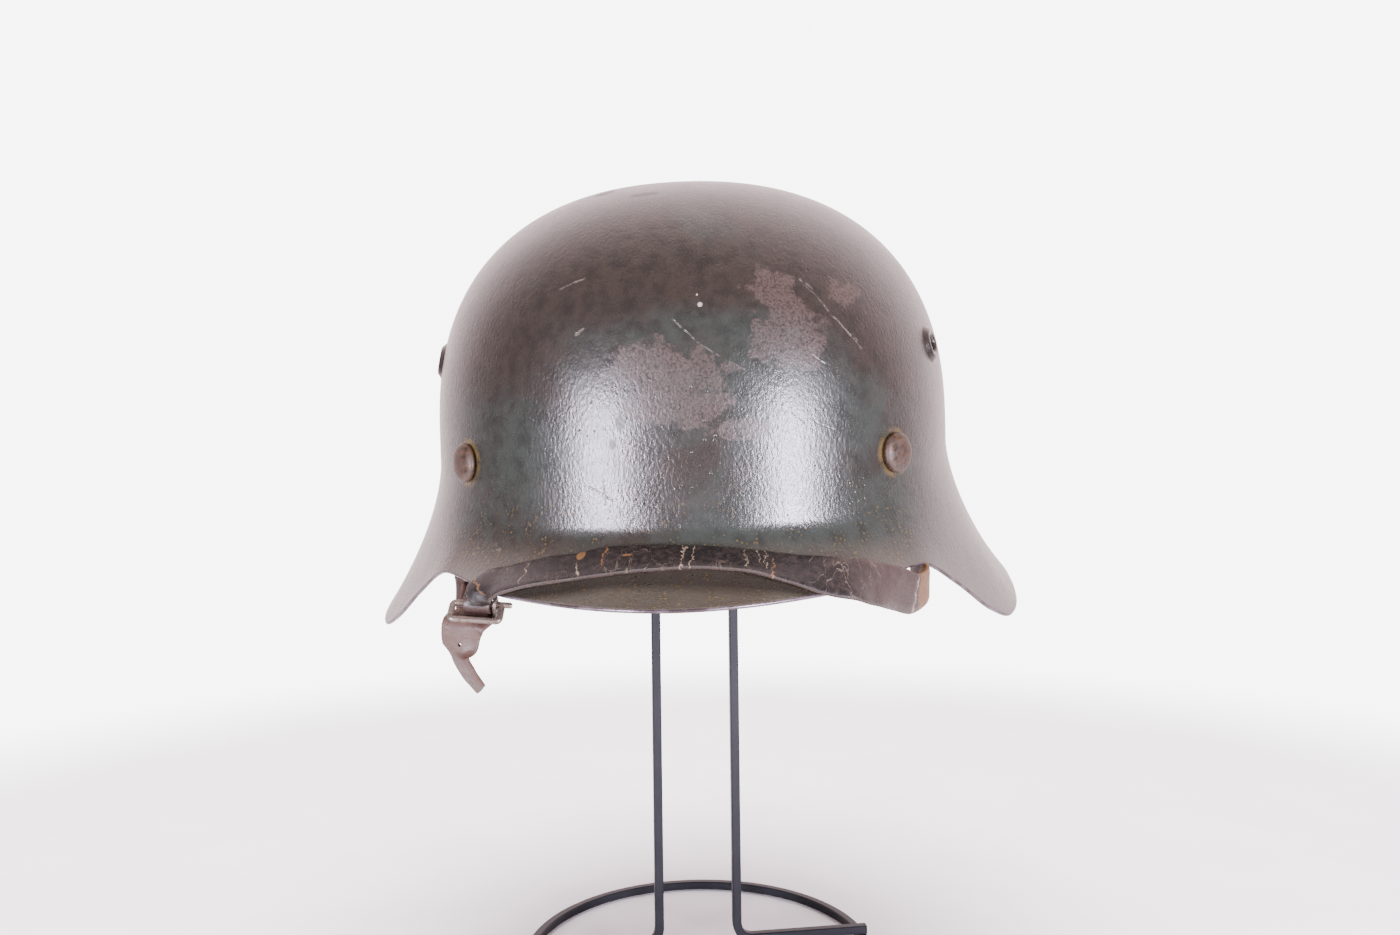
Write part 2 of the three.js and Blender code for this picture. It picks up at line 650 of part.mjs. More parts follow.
function tailStrapGeometry() {
  const buckle = buckleFrame();
  const size = { width: STRAP_WIDTH, thickness: STRAP_THICKNESS };
  const stations = [...eyeStations(-1), ...TAIL_ROUTE.map(routeStation)];
  const behind = new THREE.Vector3(ENTRY.x, ENTRY.y, ENTRY.z).multiplyScalar(STRAP_WIDTH);
  const entry = buckle.place(behind.x, behind.y, behind.z - UNDER_TOP_BAR);
  const twisting = buckle.x.clone().addScaledVector(UP, -ENTRY.dip).normalize();
  stations.push({ centre: entry, across: twisting, ...size });
  stations.push({ centre: buckle.place(0, 0, -UNDER_TOP_BAR), across: buckle.x, ...size });
  const underLow = buckle.place(UNDER_SHIFT * STRAP_WIDTH, -BUCKLE_DEPTH, -UNDER_LOW_BAR);
  stations.push({ centre: underLow, across: buckle.x, ...size });
  const hanging = (row) => underLow.clone()
    .add(new THREE.Vector3(row.x, row.y, -row.drop).multiplyScalar(STRAP_WIDTH));
  for (const row of TAIL) {
    const across = buckle.x.clone().applyAxisAngle(UP, radians(row.turn));
    const width = STRAP_WIDTH * row.broad;
    stations.push({ centre: hanging(row), across, width, thickness: STRAP_THICKNESS });
  }
  const { centre, along } = bail(-1);
  const eye = eyeSolid(centre, along, BAIL_WIRE / 2, EYE_LENGTH, STRAP_THICKNESS);
  const bore = buckle.place(PRONG_SHIFT, PRONG_LINE, -UNDER_TOP_BAR);
  const prongHole = toManifold(drill(EYELET, 3 * STRAP_THICKNESS), facing(bore, buckle.z));
  const spareHole = toManifold(drill(SPARE_HOLE, 4 * STRAP_THICKNESS),
    facing(hanging(TAIL[1]), new THREE.Vector3(0, 1, 0)));
  return fromManifold(ribbonSolid(stations).add(eye).subtract(prongHole).subtract(spareHole));
}

// Square rod along a path of points whose corners are rounded to a radius.
function bentRod(points, bend) {
  const path = new THREE.CurvePath();
  let start = points[0];
  for (let i = 1; i < points.length - 1; i += 1) {
    const corner = points[i];
    const before = corner.clone().sub(points[i - 1]).normalize();
    const after = points[i + 1].clone().sub(corner).normalize();
    const trim = bend * Math.tan(before.angleTo(after) / 2);
    const enter = corner.clone().addScaledVector(before, -trim);
    const leave = corner.clone().addScaledVector(after, trim);
    path.add(new THREE.LineCurve3(start, enter));
    path.add(new THREE.QuadraticBezierCurve3(enter, corner, leave));
    start = leave;
  }
  path.add(new THREE.LineCurve3(start, points[points.length - 1]));
  const samples = [];
  for (const curve of path.curves) {
    const steps = curve.isLineCurve3 ? 1 : 5;
    for (let i = 0; i < steps; i += 1) samples.push(curve.getPoint(i / steps));
  }
  samples.push(points[points.length - 1]);
  return squareTube(samples);
}

// Square tube through points in one upright plane; sideways is that plane's normal.
function squareTube(samples) {
  const sideways = new THREE.Vector3(0, 1, 0);
  const points = [];
  const faces = [];
  const half = ROD / 2;
  samples.forEach((p, i) => {
    const before = samples[Math.max(i - 1, 0)];
    const after = samples[Math.min(i + 1, samples.length - 1)];
    const tangent = after.clone().sub(before).normalize();
    const normal = tangent.clone().cross(sideways).normalize();
    for (const [a, n] of [[-half, -half], [half, -half], [half, half], [-half, half]]) {
      points.push(p.clone().addScaledVector(sideways, a).addScaledVector(normal, n));
    }
  });
  for (let i = 0; i < samples.length - 1; i += 1) {
    for (let k = 0; k < 4; k += 1) {
      const k2 = (k + 1) % 4;
      faces.push([i * 4 + k, i * 4 + k2, i * 4 + 4 + k2, i * 4 + 4 + k]);
    }
  }
  faces.push([3, 2, 1, 0]);
  const end = (samples.length - 1) * 4;
  faces.push([end, end + 1, end + 2, end + 3]);
  return toManifold(meshGeometry(points, faces));
}

function squareRing(radius, bottom, segments) {
  const inner = radius - ROD / 2;
  const outer = radius + ROD / 2;
  return toManifold(turned([[inner, bottom], [outer, bottom], [outer, bottom + ROD],
    [inner, bottom + ROD], [inner, bottom]], segments));
}

// Height of the bowl's inner face above the stand's top ring, in the stand's frame.
function topRingHeight() {
  const tilt = new THREE.Euler(radians(TILT_FORWARD), radians(-LEAN_LEFT), 0);
  let lowest = Infinity;
  for (let azimuth = 0; azimuth < 360; azimuth += 5) {
    for (let stage = 0.02; stage < 1; stage += 0.02) {
      const point = shellPoint(azimuth, stage);
      point.addScaledVector(shellNormal(azimuth, stage), -STEEL).applyEuler(tilt);
      point.add(new THREE.Vector3(HELMET_SIDESTEP, 0, HELMET_LIFT));
      const near = Math.abs(Math.hypot(point.x, point.y) - TOP_RING_RADIUS) < ROD;
      if (near) lowest = Math.min(lowest, point.z);
    }
  }
  return lowest - CLEARANCE;
}

// Welded stand: ring on the floor, two feet on it, uprights, arms out to a ring in the crown.
function standGeometry() {
  const footLevel = ROD * 1.5 - WELD_SINK;
  const top = topRingHeight();
  const armLevel = top - ROD * 1.5 + WELD_SINK;
  const solids = [squareRing(RING_RADIUS, 0, 48), squareRing(TOP_RING_RADIUS, top - ROD, 32)];
  for (const side of [1, -1]) {
    const upright = (side * UPRIGHT_SPACING) / 2;
    const route = [
      new THREE.Vector3(side * (RING_RADIUS + ROD / 2), 0, footLevel),
      new THREE.Vector3(upright, 0, footLevel),
      new THREE.Vector3(upright, 0, armLevel),
      new THREE.Vector3(side * (TOP_RING_RADIUS + ROD / 2), 0, armLevel),
    ];
    solids.push(bentRod(route, FOOT_BEND));
  }
  return fromManifold(joined(solids));
}

const finish = (color, roughness, metalness) => new THREE.MeshStandardMaterial({
  color, roughness, metalness,
});
const FINISH = {
  shell: finish('#464b44', 0.38, 0.3),
  rivet: finish('#6b5238', 0.45, 0.7),
  band: finish('#55524c', 0.5, 0.8),
  strap: finish('#4a3430', 0.55, 0.0),
  tail: finish('#7d5c56', 0.6, 0.0),
  buckle: finish('#857a70', 0.45, 0.8),
  stand: finish('#3c3f43', 0.5, 0.6),
};

function piece(name, geometry, material) {
  const mesh = new THREE.Mesh(geometry, material);
  mesh.name = name;
  return mesh;
}

const helmet = new THREE.Group();
helmet.position.set(HELMET_SIDESTEP, 0, HELMET_LIFT);
helmet.rotation.set(radians(TILT_FORWARD), radians(-LEAN_LEFT), 0);
helmet.add(piece('helmet_shell', shellGeometry(), FINISH.shell));
for (const rivet of RIVETS) {
  const mesh = piece(rivet.name, rivetGeometry(rivet.azimuth), FINISH.rivet);
  mesh.applyMatrix4(rivetFrame(rivet.azimuth));
  helmet.add(mesh);
}
helmet.add(piece('inner_band', bandGeometry(), FINISH.band));
helmet.add(piece('chin_strap_long', longStrapGeometry(), FINISH.strap));
helmet.add(piece('chin_strap_tail', tailStrapGeometry(), FINISH.tail));

const buckle = new THREE.Group();
buckle.applyMatrix4(buckleFrame().matrix);
buckle.add(piece('buckle_frame', buckleGeometry(), FINISH.buckle));
buckle.add(piece('buckle_prong', prongGeometry(), FINISH.buckle));
helmet.add(buckle);

const stand = piece('wire_stand', standGeometry(), FINISH.stand);
stand.rotation.z = radians(STAND_TURN);

const upright = new THREE.Group();
upright.add(helmet, stand);
const middle = new THREE.Box3().setFromObject(upright, true).getCenter(new THREE.Vector3());
upright.position.set(-middle.x, -middle.y, 0);

const assembly = new THREE.Group();
assembly.add(upright);
export default assembly;
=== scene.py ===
"""Looks of a worn steel helmet on a bent wire display stand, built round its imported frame."""

import logging
import math
from dataclasses import dataclass
from enum import Enum
from typing import Any, Callable

import bpy
import numpy as np
from mathutils import Matrix, Vector


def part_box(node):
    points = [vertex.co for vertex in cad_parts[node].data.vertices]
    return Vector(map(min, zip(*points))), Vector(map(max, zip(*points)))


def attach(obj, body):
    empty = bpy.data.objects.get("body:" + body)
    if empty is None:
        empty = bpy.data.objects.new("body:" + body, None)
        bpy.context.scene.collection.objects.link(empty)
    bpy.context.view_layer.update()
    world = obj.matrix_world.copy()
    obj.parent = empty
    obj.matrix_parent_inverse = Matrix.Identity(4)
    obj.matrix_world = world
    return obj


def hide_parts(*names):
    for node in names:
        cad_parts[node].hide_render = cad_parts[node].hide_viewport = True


logging.basicConfig(level=logging.INFO, format="%(message)s")
log = logging.getLogger("helmet")

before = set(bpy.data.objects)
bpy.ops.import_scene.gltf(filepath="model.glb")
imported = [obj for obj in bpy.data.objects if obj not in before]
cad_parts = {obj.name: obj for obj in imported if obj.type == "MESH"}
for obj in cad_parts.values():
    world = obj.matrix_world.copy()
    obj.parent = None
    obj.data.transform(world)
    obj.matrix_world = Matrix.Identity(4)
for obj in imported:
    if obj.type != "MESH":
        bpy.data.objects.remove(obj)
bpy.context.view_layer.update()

MM = 0.001
BODY = "root"
# settings that many shader nodes share
SMOOTH = {"interpolation_type": "SMOOTHSTEP"}
COLOURS = {"data_type": "RGBA"}


def linear(hex_text: str) -> tuple[float, float, float, float]:
    """Turns an sRGB hex colour into linear red, green, blue and alpha.

    Args:
        hex_text: Colour as "#rrggbb".

    Returns:
        Linear colour with an alpha of one.
    """
    parts = [int(hex_text[i:i + 2], 16) / 255 for i in (1, 3, 5)]
    red, green, blue = (p / 12.92 if p <= 0.04045 else ((p + 0.055) / 1.055) ** 2.4 for p in parts)
    return red, green, blue, 1.0


def node(tree: bpy.types.NodeTree, kind: str, *values: Any, out: int = 0,
         **named: Any) -> bpy.types.NodeSocket:
    """Adds a shader node with its settings and links.

    Args:
        tree: Node tree that gets the node.
        kind: Type of node, without the leading "ShaderNode".
        values: Sockets or constants for the inputs in use, in the node's own order.
        out: Number of the wanted output among those in use.
        named: The node's properties, and sockets or constants for inputs by name.

    Returns:
        The wanted output, whose node attribute is the node itself.
    """
    made = tree.nodes.new("ShaderNode" + kind)
    for name in [name for name in named if hasattr(made, name)]:
        setattr(made, name, named.pop(name))
    in_use = [socket for socket in made.inputs if socket.enabled]
    by_name = [(made.inputs[name], value) for name, value in named.items()]
    for socket, value in [*zip(in_use, values), *by_name]:
        if isinstance(value, bpy.types.NodeSocket):
            tree.links.new(value, socket)
        else:
            socket.default_value = value
    shown = [socket for socket in made.outputs if socket.enabled]
    return shown[out] if shown else None


def fresh_material(name: str) -> tuple[bpy.types.Material, bpy.types.NodeTree, bpy.types.Node]:
    """Makes an empty node material with its main shader.

    Args:
        name: Name of the material.

    Returns:
        The material, its node tree and its Principled shader.
    """
    material = bpy.data.materials.new(name)
    material.use_nodes = True
    tree = material.node_tree
    tree.nodes.clear()
    surface = node(tree, "BsdfPrincipled")
    node(tree, "OutputMaterial", surface)
    return material, tree, surface.node


def spot(tree: bpy.types.NodeTree, place: Any, centre: Vector, size_mm: tuple[float, float, float],
         soft: float = 0.5) -> Any:
    """Mask of a rounded patch round a point of the surface.

    Args:
        tree: Node tree to work in.
        place: Socket with the place in metres.
        centre: Middle of the patch in metres.
        size_mm: Half sizes along X, Y and Z.
        soft: Share of the radius over which the edge fades.

    Returns:
        Mask socket.
    """
    from_centre = node(tree, "VectorMath", place, tuple(centre), operation="SUBTRACT")
    scale = tuple(1.0 / (s * MM) for s in size_mm)
    scaled = node(tree, "VectorMath", from_centre, scale, operation="MULTIPLY")
    length = node(tree, "VectorMath", scaled, operation="LENGTH")
    return node(tree, "MapRange", length, 1.0 + soft, 1.0 - soft, **SMOOTH)


def scratch(tree: bpy.types.NodeTree, place: Any, start: Vector, end: Vector,
            width_mm: float) -> Any:
    """Mask of a straight scratch between two points of the surface.

    Args:
        tree: Node tree to work in.
        place: Socket with the place in metres, already roughened.
        start: One end in metres.
        end: Other end in metres.
        width_mm: Width of the scratch.

    Returns:
        Mask socket.
    """
    run = end - start
    away = node(tree, "VectorMath", place, tuple(start), operation="SUBTRACT")
    per_length = tuple(run / run.length_squared)
    along = node(tree, "VectorMath", away, per_length, operation="DOT_PRODUCT")
    share = node(tree, "Clamp", along)
    nearest = node(tree, "VectorMath", tuple(run), Scale=share, operation="SCALE")
    gap = node(tree, "VectorMath", away, nearest, operation="DISTANCE")
    return node(tree, "MapRange", gap, width_mm * MM, 0.25 * width_mm * MM, **SMOOTH)


def strongest(tree: bpy.types.NodeTree, masks: list) -> Any:
    """Joins masks by their highest value.

    Args:
        tree: Node tree to work in.
        masks: Mask sockets.

    Returns:
        Mask socket, or nought where there is no mask.
    """
    whole = masks[0] if masks else 0.0
    for mask in masks[1:]:
        whole = node(tree, "Math", whole, mask, operation="MAXIMUM")
    return whole


def deselect() -> None:
    """Leaves object mode with nothing selected."""
    if bpy.context.object and bpy.context.object.mode != "OBJECT":
        bpy.ops.object.mode_set(mode="OBJECT")
    bpy.ops.object.select_all(action="DESELECT")


def set_points(piece: bpy.types.Object, points: np.ndarray) -> None:
    """Moves every vertex of a piece to the given places in metres."""
    piece.data.vertices.foreach_set("co", np.ascontiguousarray(points, dtype=np.float32).ravel())
    piece.data.update()


def get_points(piece: bpy.types.Object) -> np.ndarray:
    """Reads where a piece's vertices are.

    Args:
        piece: Mesh object to read.

    Returns:
        Places in metres, one row each.
    """
    places = np.empty(len(piece.data.vertices) * 3, dtype=np.float32)
    piece.data.vertices.foreach_get("co", places)
    return places.reshape(-1, 3).astype(float)


def pick(piece: bpy.types.Object) -> None:
    """Selects one piece alone and makes it active.

    Args:
        piece: Object to pick.
    """
    deselect()
    bpy.context.view_layer.objects.active = piece
    piece.select_set(True)


def apply_all(piece: bpy.types.Object) -> None:
    """Applies every modifier of a piece in order.

    Args:
        piece: Mesh object with its modifiers.
    """
    pick(piece)
    for modifier in list(piece.modifiers):
        bpy.ops.object.modifier_apply(modifier=modifier.name)


def smooth(piece: bpy.types.Object, degrees: float) -> None:
    """Shades a piece smoothly except over sharp edges.

    Args:
        piece: Mesh object to shade.
        degrees: Angle from which an edge stays sharp.
    """
    pick(piece)
    bpy.ops.object.shade_smooth_by_angle(angle=math.radians(degrees))
    deselect()


def bored(piece: bpy.types.Object, centre: np.ndarray, axis: np.ndarray, size: float, depth: float,
          sides: int) -> None:
    """Cuts a round hole through a piece.

    Args:
        piece: Mesh object to cut.
        centre: Middle of the hole in helmet millimetres.
        axis: Direction of the hole in the helmet's own frame.
        size: Its diameter in millimetres.
        depth: Length of the cutter in millimetres.
        sides: Number of the cutter's sides.
    """
    direction = Vector(TURN @ axis).normalized()
    deselect()
    bpy.ops.mesh.primitive_cylinder_add(
        vertices=sides, radius=size / 2 * MM, depth=depth * MM, location=tuple(placed(centre)),
        rotation=direction.to_track_quat("Z", "Y").to_euler())
    bit = bpy.context.object
    cut = piece.modifiers.new("hole", "BOOLEAN")
    cut.operation = "DIFFERENCE"
    cut.solver = "EXACT"
    cut.object = bit
    apply_all(piece)
    bpy.data.objects.remove(bit)


def dress(piece: bpy.types.Object, name: str, material: bpy.types.Material, slot: str,
          *cad_nodes: str) -> None:
    """Names a piece, gives it its finish and ties it to the frame.

    Args:
        piece: Finished mesh object.
        name: Plain name of the piece.
        material: Its finish, where it has none yet.
        slot: Not used.
        cad_nodes: Nodes that the piece stands for.
    """
    piece.name = name
    piece.data.name = name
    if not piece.data.materials:
        piece.data.materials.append(material)
    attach(piece, BODY)
    if cad_nodes:
        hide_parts(*cad_nodes)
    log.info("%s: %d faces", name, len(piece.data.polygons))


def lofted(rings: np.ndarray, start: np.ndarray, end: np.ndarray,
           along: np.ndarray | None = None, across: np.ndarray | None = None) -> bpy.types.Object:
    """Closed solid through rings of points, made from a sphere whose rings are moved.

    Args:
        rings: Places in metres, rings by points round by three, counter-clockwise seen
            from the start's outside.
        start: Middle of the closed start.
        end: Middle of the closed end.
        along: Distance of each ring along the piece, for its UV map, in metres.
        across: Place of each point of a ring across the piece, for its UV map, in metres.

    Returns:
        The new object.
    """
    count, around = rings.shape[:2]
    deselect()
    bpy.ops.mesh.primitive_uv_sphere_add(segments=around, ring_count=count + 1, radius=1.0)
    piece = bpy.context.object
    points = get_points(piece)
    row = np.rint(np.arccos(np.clip(points[:, 2], -1, 1)) / (math.pi / (count + 1))).astype(int)
    turn = np.rint(np.arctan2(points[:, 1], points[:, 0]) / (2 * math.pi / around)).astype(int) % around
    moved = rings[np.clip(row - 1, 0, count - 1), turn]
    moved[row == 0] = start
    moved[row == count + 1] = end
    set_points(piece, moved)
    if along is not None and across is not None:
        uv_row = along[np.clip(row - 1, 0, count - 1)]
        uv_turn = np.where((row == 0) | (row == count + 1), 0.0, across[turn])
        layer = piece.data.uv_layers[0]
        corners = np.empty(len(piece.data.loops), dtype=np.int32)
        piece.data.loops.foreach_get("vertex_index", corners)
        layer.data.foreach_set("uv", np.stack([uv_row[corners], uv_turn[corners]], 1)
                               .astype(np.float32).ravel())
    return piece


def looped(rings: np.ndarray) -> bpy.types.Object:
    """Endless loop through rings of points, made from a torus whose rings are moved.

    Args:
        rings: Places in metres, rings by points round by three.

    Returns:
        The new object.
    """
    count, around = rings.shape[:2]
    deselect()
    bpy.ops.mesh.primitive_torus_add(major_segments=count, minor_segments=around,
                                     major_radius=3.0, minor_radius=1.0)
    piece = bpy.context.object
    points = get_points(piece)
    turn = np.rint(np.arctan2(points[:, 1], points[:, 0]) / (2 * math.pi / count)).astype(int) % count
    out = np.hypot(points[:, 0], points[:, 1]) - 3.0
    spin = np.rint(np.arctan2(points[:, 2], out) / (2 * math.pi / around)).astype(int) % around
    set_points(piece, rings[turn, spin])
    return piece


def turned(centre: np.ndarray, axis: np.ndarray, side: np.ndarray, section: tuple,
           steps: int) -> np.ndarray:
    """Rings of a section turned round an axis.

    Args:
        centre: Point of the axis at height nought.
        axis: Direction of the axis.
        side: Direction across the axis where the turn starts.
        section: Radius and height of each point of the section.
        steps: Number of rings.

    Returns:
        Places, rings by points of the section by three.
    """
    up = np.cross(axis, side)
    rings = []
    for k in range(steps):
        a = 2 * math.pi * k / steps
        out = side * math.cos(a) + up * math.sin(a)
        rings.append([centre + out * radius + axis * height for radius, height in section])
    return np.array(rings)


def eased(before: np.ndarray, here: np.ndarray, after: np.ndarray, ease: float,
          count: int) -> np.ndarray:
    """Points of a corner rounded between two straight runs.

    Args:
        before: A point of the run before the corner.
        here: The sharp corner.
        after: A point of the run after it.
        ease: Distance from the corner where the rounding starts.
        count: Number of points.

    Returns:
        Places, one row each.
    """
    enter = here + unit(before - here) * ease
    leave = here + unit(after - here) * ease
    t = np.linspace(0, 1, count)[:, None]
    return (1 - t) ** 2 * enter + 2 * t * (1 - t) * here + t * t * leave


def outward(piece: bpy.types.Object) -> None:
    """Turns all faces of a closed piece to the outside.

    Args:
        piece: Mesh object to mend.
    """
    pick(piece)
    bpy.ops.object.mode_set(mode="EDIT")
    bpy.ops.mesh.select_all(action="SELECT")
    bpy.ops.mesh.normals_make_consistent(inside=False)
    bpy.ops.object.mode_set(mode="OBJECT")


def fused(pieces: list) -> bpy.types.Object:
    """Joins several meshes.

    Args:
        pieces: Mesh objects to join.

    Returns:
        The first of them, which now holds all.
    """
    deselect()
    for piece in pieces:
        piece.select_set(True)
    bpy.context.view_layer.objects.active = pieces[0]
    bpy.ops.object.join()
    return pieces[0]


def unit(v: np.ndarray) -> np.ndarray:
    """Vector of length one in the same direction."""
    return v / np.linalg.norm(v, axis=-1, keepdims=True)


@dataclass(frozen=True)
class Bowl:
    """The pressed steel bowl's outer face, in millimetres in the helmet's own frame."""

    steel: float = 1.2
    half_width: float = 95.0
    front_reach: float = 99.0
    back_reach: float = 116.0
    crown_height: float = 163.0
    dome_start: float = 72.0
    plan_fullness: float = 2.12
    dome_fullness: float = 2.42
    flare_reach: float = 30.0
    notch_rise: float = 28.0
    sidestep: float = 1.8
    lift: float = 133.4
    tilt: float = 2.4
    lean: float = 0.65
    # azimuth, flare as a share of flare_reach, rise as a share of notch_rise
    rim: tuple = ((0, 0.883, 0.815), (25, 0.56, 0.868), (45, 0.313, 1.0), (56, 0.4, 0.686),
                  (66, 0.6, 0.28), (73, 0.74, 0.14), (82, 0.83, 0.2), (92, 0.89, 0.35),
                  (112, 1.03, 0.57), (140, 1.07, 0.7), (180, 1.1, 0.78))
    # azimuth, drop of the bend below the dome, sharpness of the flare
    bend: tuple = ((0, 28, 2.0), (25, 27, 2.0), (56, 15, 1.7), (92, 4, 1.56), (180, 4, 1.56))

    def placing(self) -> Matrix:
        """Works out where the helmet sits.

        Returns:
            Matrix from the helmet's own millimetres to the row's metres.
        """
        low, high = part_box("wire_stand")
        middle = (Vector(low) + Vector(high)) / 2
        seat = Matrix.Translation((middle.x + self.sidestep * MM, middle.y, self.lift * MM))
        tilt = Matrix.Rotation(math.radians(self.tilt), 4, "X")
        lean = Matrix.Rotation(math.radians(-self.lean), 4, "Y")
        return seat @ tilt @ lean @ Matrix.Scale(MM, 4)

    @staticmethod
    def column(rows: tuple, key: int, azimuth: np.ndarray) -> np.ndarray:
        """Smooth curve through a table's column, symmetric at both ends.

        Args:
            rows: Table whose first column is the azimuth.
            key: Column to read.
            azimuth: Angles in degrees.

        Returns:
            The column's value at each angle.
        """
        x = np.array([r[0] for r in rows], float)
        y = np.array([r[key] for r in rows], float)
        step = np.diff(x)
        slope = np.diff(y) / step
        before, after = slope[:-1], slope[1:]
        total = np.where(before + after == 0, 1, before + after)
        inner = np.where(before * after > 0, 2 * before * after / total, 0.0)
        tangent = np.concatenate([[0.0], inner, [0.0]])
        a = np.abs(azimuth)
        i = np.clip(np.searchsorted(x, a, side="left") - 1, 0, len(x) - 2)
        t = (a - x[i]) / step[i]
        ease = t * t * (3 - 2 * t)
        leave = t * (1 - t) ** 2 * step[i] * tangent[i]
        arrive = t * t * (1 - t) * step[i] * tangent[i + 1]
        return y[i] + (y[i + 1] - y[i]) * ease + leave - arrive

    def waist(self, azimuth: np.ndarray) -> np.ndarray:
        """Radius of the wall in plan.

        Args:
            azimuth: Angles from the front, degrees.

        Returns:
            Radius at each angle.
        """
        a = np.radians(azimuth)
        reach = np.where(np.cos(a) > 0, self.front_reach, self.back_reach)
        across = np.abs(np.sin(a)) / self.half_width
        along = np.abs(np.cos(a)) / reach
        n = self.plan_fullness
        return (across ** n + along ** n) ** (-1 / n)

    def rim_flare(self, azimuth: np.ndarray) -> np.ndarray:
        """How far the rim stands out from the wall."""
        return self.flare_reach * self.column(self.rim, 1, azimuth)

    def rim_height(self, azimuth: np.ndarray) -> np.ndarray:
        """Height of the rim."""
        return self.notch_rise * self.column(self.rim, 2, azimuth)

    def bend_height(self, azimuth: np.ndarray) -> np.ndarray:
        """Height where the wall starts to turn out."""
        return self.dome_start - self.column(self.bend, 1, azimuth)

    def point(self, azimuth: np.ndarray, stage: np.ndarray) -> np.ndarray:
        """Points of the outer face.

        Args:
            azimuth: Angles from the front, degrees.
            stage: 0 to 1 is the dome from its pole, 1 to 2 the wall, 2 to 3 the flare.

        Returns:
            Places, one row each.
        """
        azimuth, stage = np.broadcast_arrays(np.asarray(azimuth, float), np.asarray(stage, float))
        waist = self.waist(azimuth)
        bend = self.bend_height(azimuth)
        angle = np.clip(stage, 0, 1) * math.pi / 2
        power = 2 / self.dome_fullness
        climb = (self.crown_height - self.dome_start) * np.maximum(np.cos(angle), 0) ** power
        down = np.clip(stage - 2, 0, 1)
        sharp = self.column(self.bend, 2, azimuth)
        radius = waist * np.sin(angle) ** power + self.rim_flare(azimuth) * down ** sharp
        wall = self.dome_start + (bend - self.dome_start) * np.clip(stage - 1, 0, 1)
        flare = bend + (self.rim_height(azimuth) - bend) * down
        height = np.where(stage <= 1, self.dome_start + climb, np.where(stage <= 2, wall, flare))
        a = np.radians(azimuth)
        return np.stack([radius * np.sin(a), -radius * np.cos(a), height], -1)

    def normal(self, azimuth: np.ndarray, stage: np.ndarray) -> np.ndarray:
        """Directions out of the outer face.

        Args:
            azimuth: Angles from the front, degrees.
            stage: Places down the face, as in point.

        Returns:
            Unit normals, one row each.
        """
        azimuth, stage = np.broadcast_arrays(np.asarray(azimuth, float), np.asarray(stage, float))
        down = self.point(azimuth, np.minimum(stage + 0.01, 3)) \
            - self.point(azimuth, np.maximum(stage - 0.01, 0.001))
        round_ = self.point(azimuth + 0.5, stage) - self.point(azimuth - 0.5, stage)
        return unit(np.cross(down, round_))

    def stage_at(self, azimuth: float, height: float) -> float:
        """Finds the place down the face that has a height.

        Args:
            azimuth: Angle from the front, degrees.
            height: Height in millimetres.

        Returns:
            Stage, as in point.
        """
        bend = float(self.bend_height(np.array(azimuth)))
        if height >= self.dome_start:
            share = (height - self.dome_start) / (self.crown_height - self.dome_start)
            return 2 / math.pi * math.acos(share ** (self.dome_fullness / 2))
        if height >= bend:
            return 1 + (self.dome_start - height) / (self.dome_start - bend)
        return 2 + (bend - height) / (bend - float(self.rim_height(np.array(azimuth))))

    def polar(self, azimuth: float, radius: float, height: float) -> np.ndarray:
        """Point at an angle, radius and height."""
        a = math.radians(azimuth)
        return np.array([radius * math.sin(a), -radius * math.cos(a), height])


BOWL = Bowl()
PLACING = BOWL.placing()
TURN = np.array(PLACING.to_3x3())
MOVE = np.array(PLACING.translation)


def placed(points: np.ndarray) -> np.ndarray:
    """Turns helmet millimetres into row metres."""
    return np.asarray(points, float) @ TURN.T + MOVE


def on_helmet(x: float, y: float, z: float) -> Vector:
    """Row place of a point given in helmet millimetres."""
    return Vector(placed(np.array([x, y, z])))


# rubbed places: middle and half sizes in helmet millimetres, softness of the edge
RUBBED_LEFT = (((-6, -97, 91), (13, 30, 9), 1.0), ((5, -97, 88), (14, 30, 10), 1.0),
               ((-2, -98, 81), (13, 30, 8), 1.0), ((10, -97, 79), (10, 30, 7), 1.0),
               ((21, -97, 72), (12, 30, 4), 1.0))
RUBBED_RIGHT = (((33, -87, 114), (9, 30, 9), 1.0), ((37, -88, 107), (13, 30, 9), 1.0),
                ((33, -91, 101), (12, 30, 9), 1.0), ((40, -89, 97), (10, 30, 8), 1.0),
                ((53.7, -75, 115), (7, 20, 5), 1.0))
# dark bruises and pale chips, in the same form
BRUISES = (((-25.2, -45.6, 154.6), (3.6, 5, 6), 0.6), ((-10, -59, 150.7), (5, 1.6, 6), 0.7),
           ((-14.7, -98.1, 74.9), (1.6, 8, 2.2), 0.4), ((-17.2, -97.7, 68.5), (1.1, 8, 1.7), 0.4))
CHIPS = (((10, -93.4, 110), (0.7, 6, 0.7), 0.3), ((9.1, -92.4, 113.1), (0.3, 6, 0.3), 0.3))
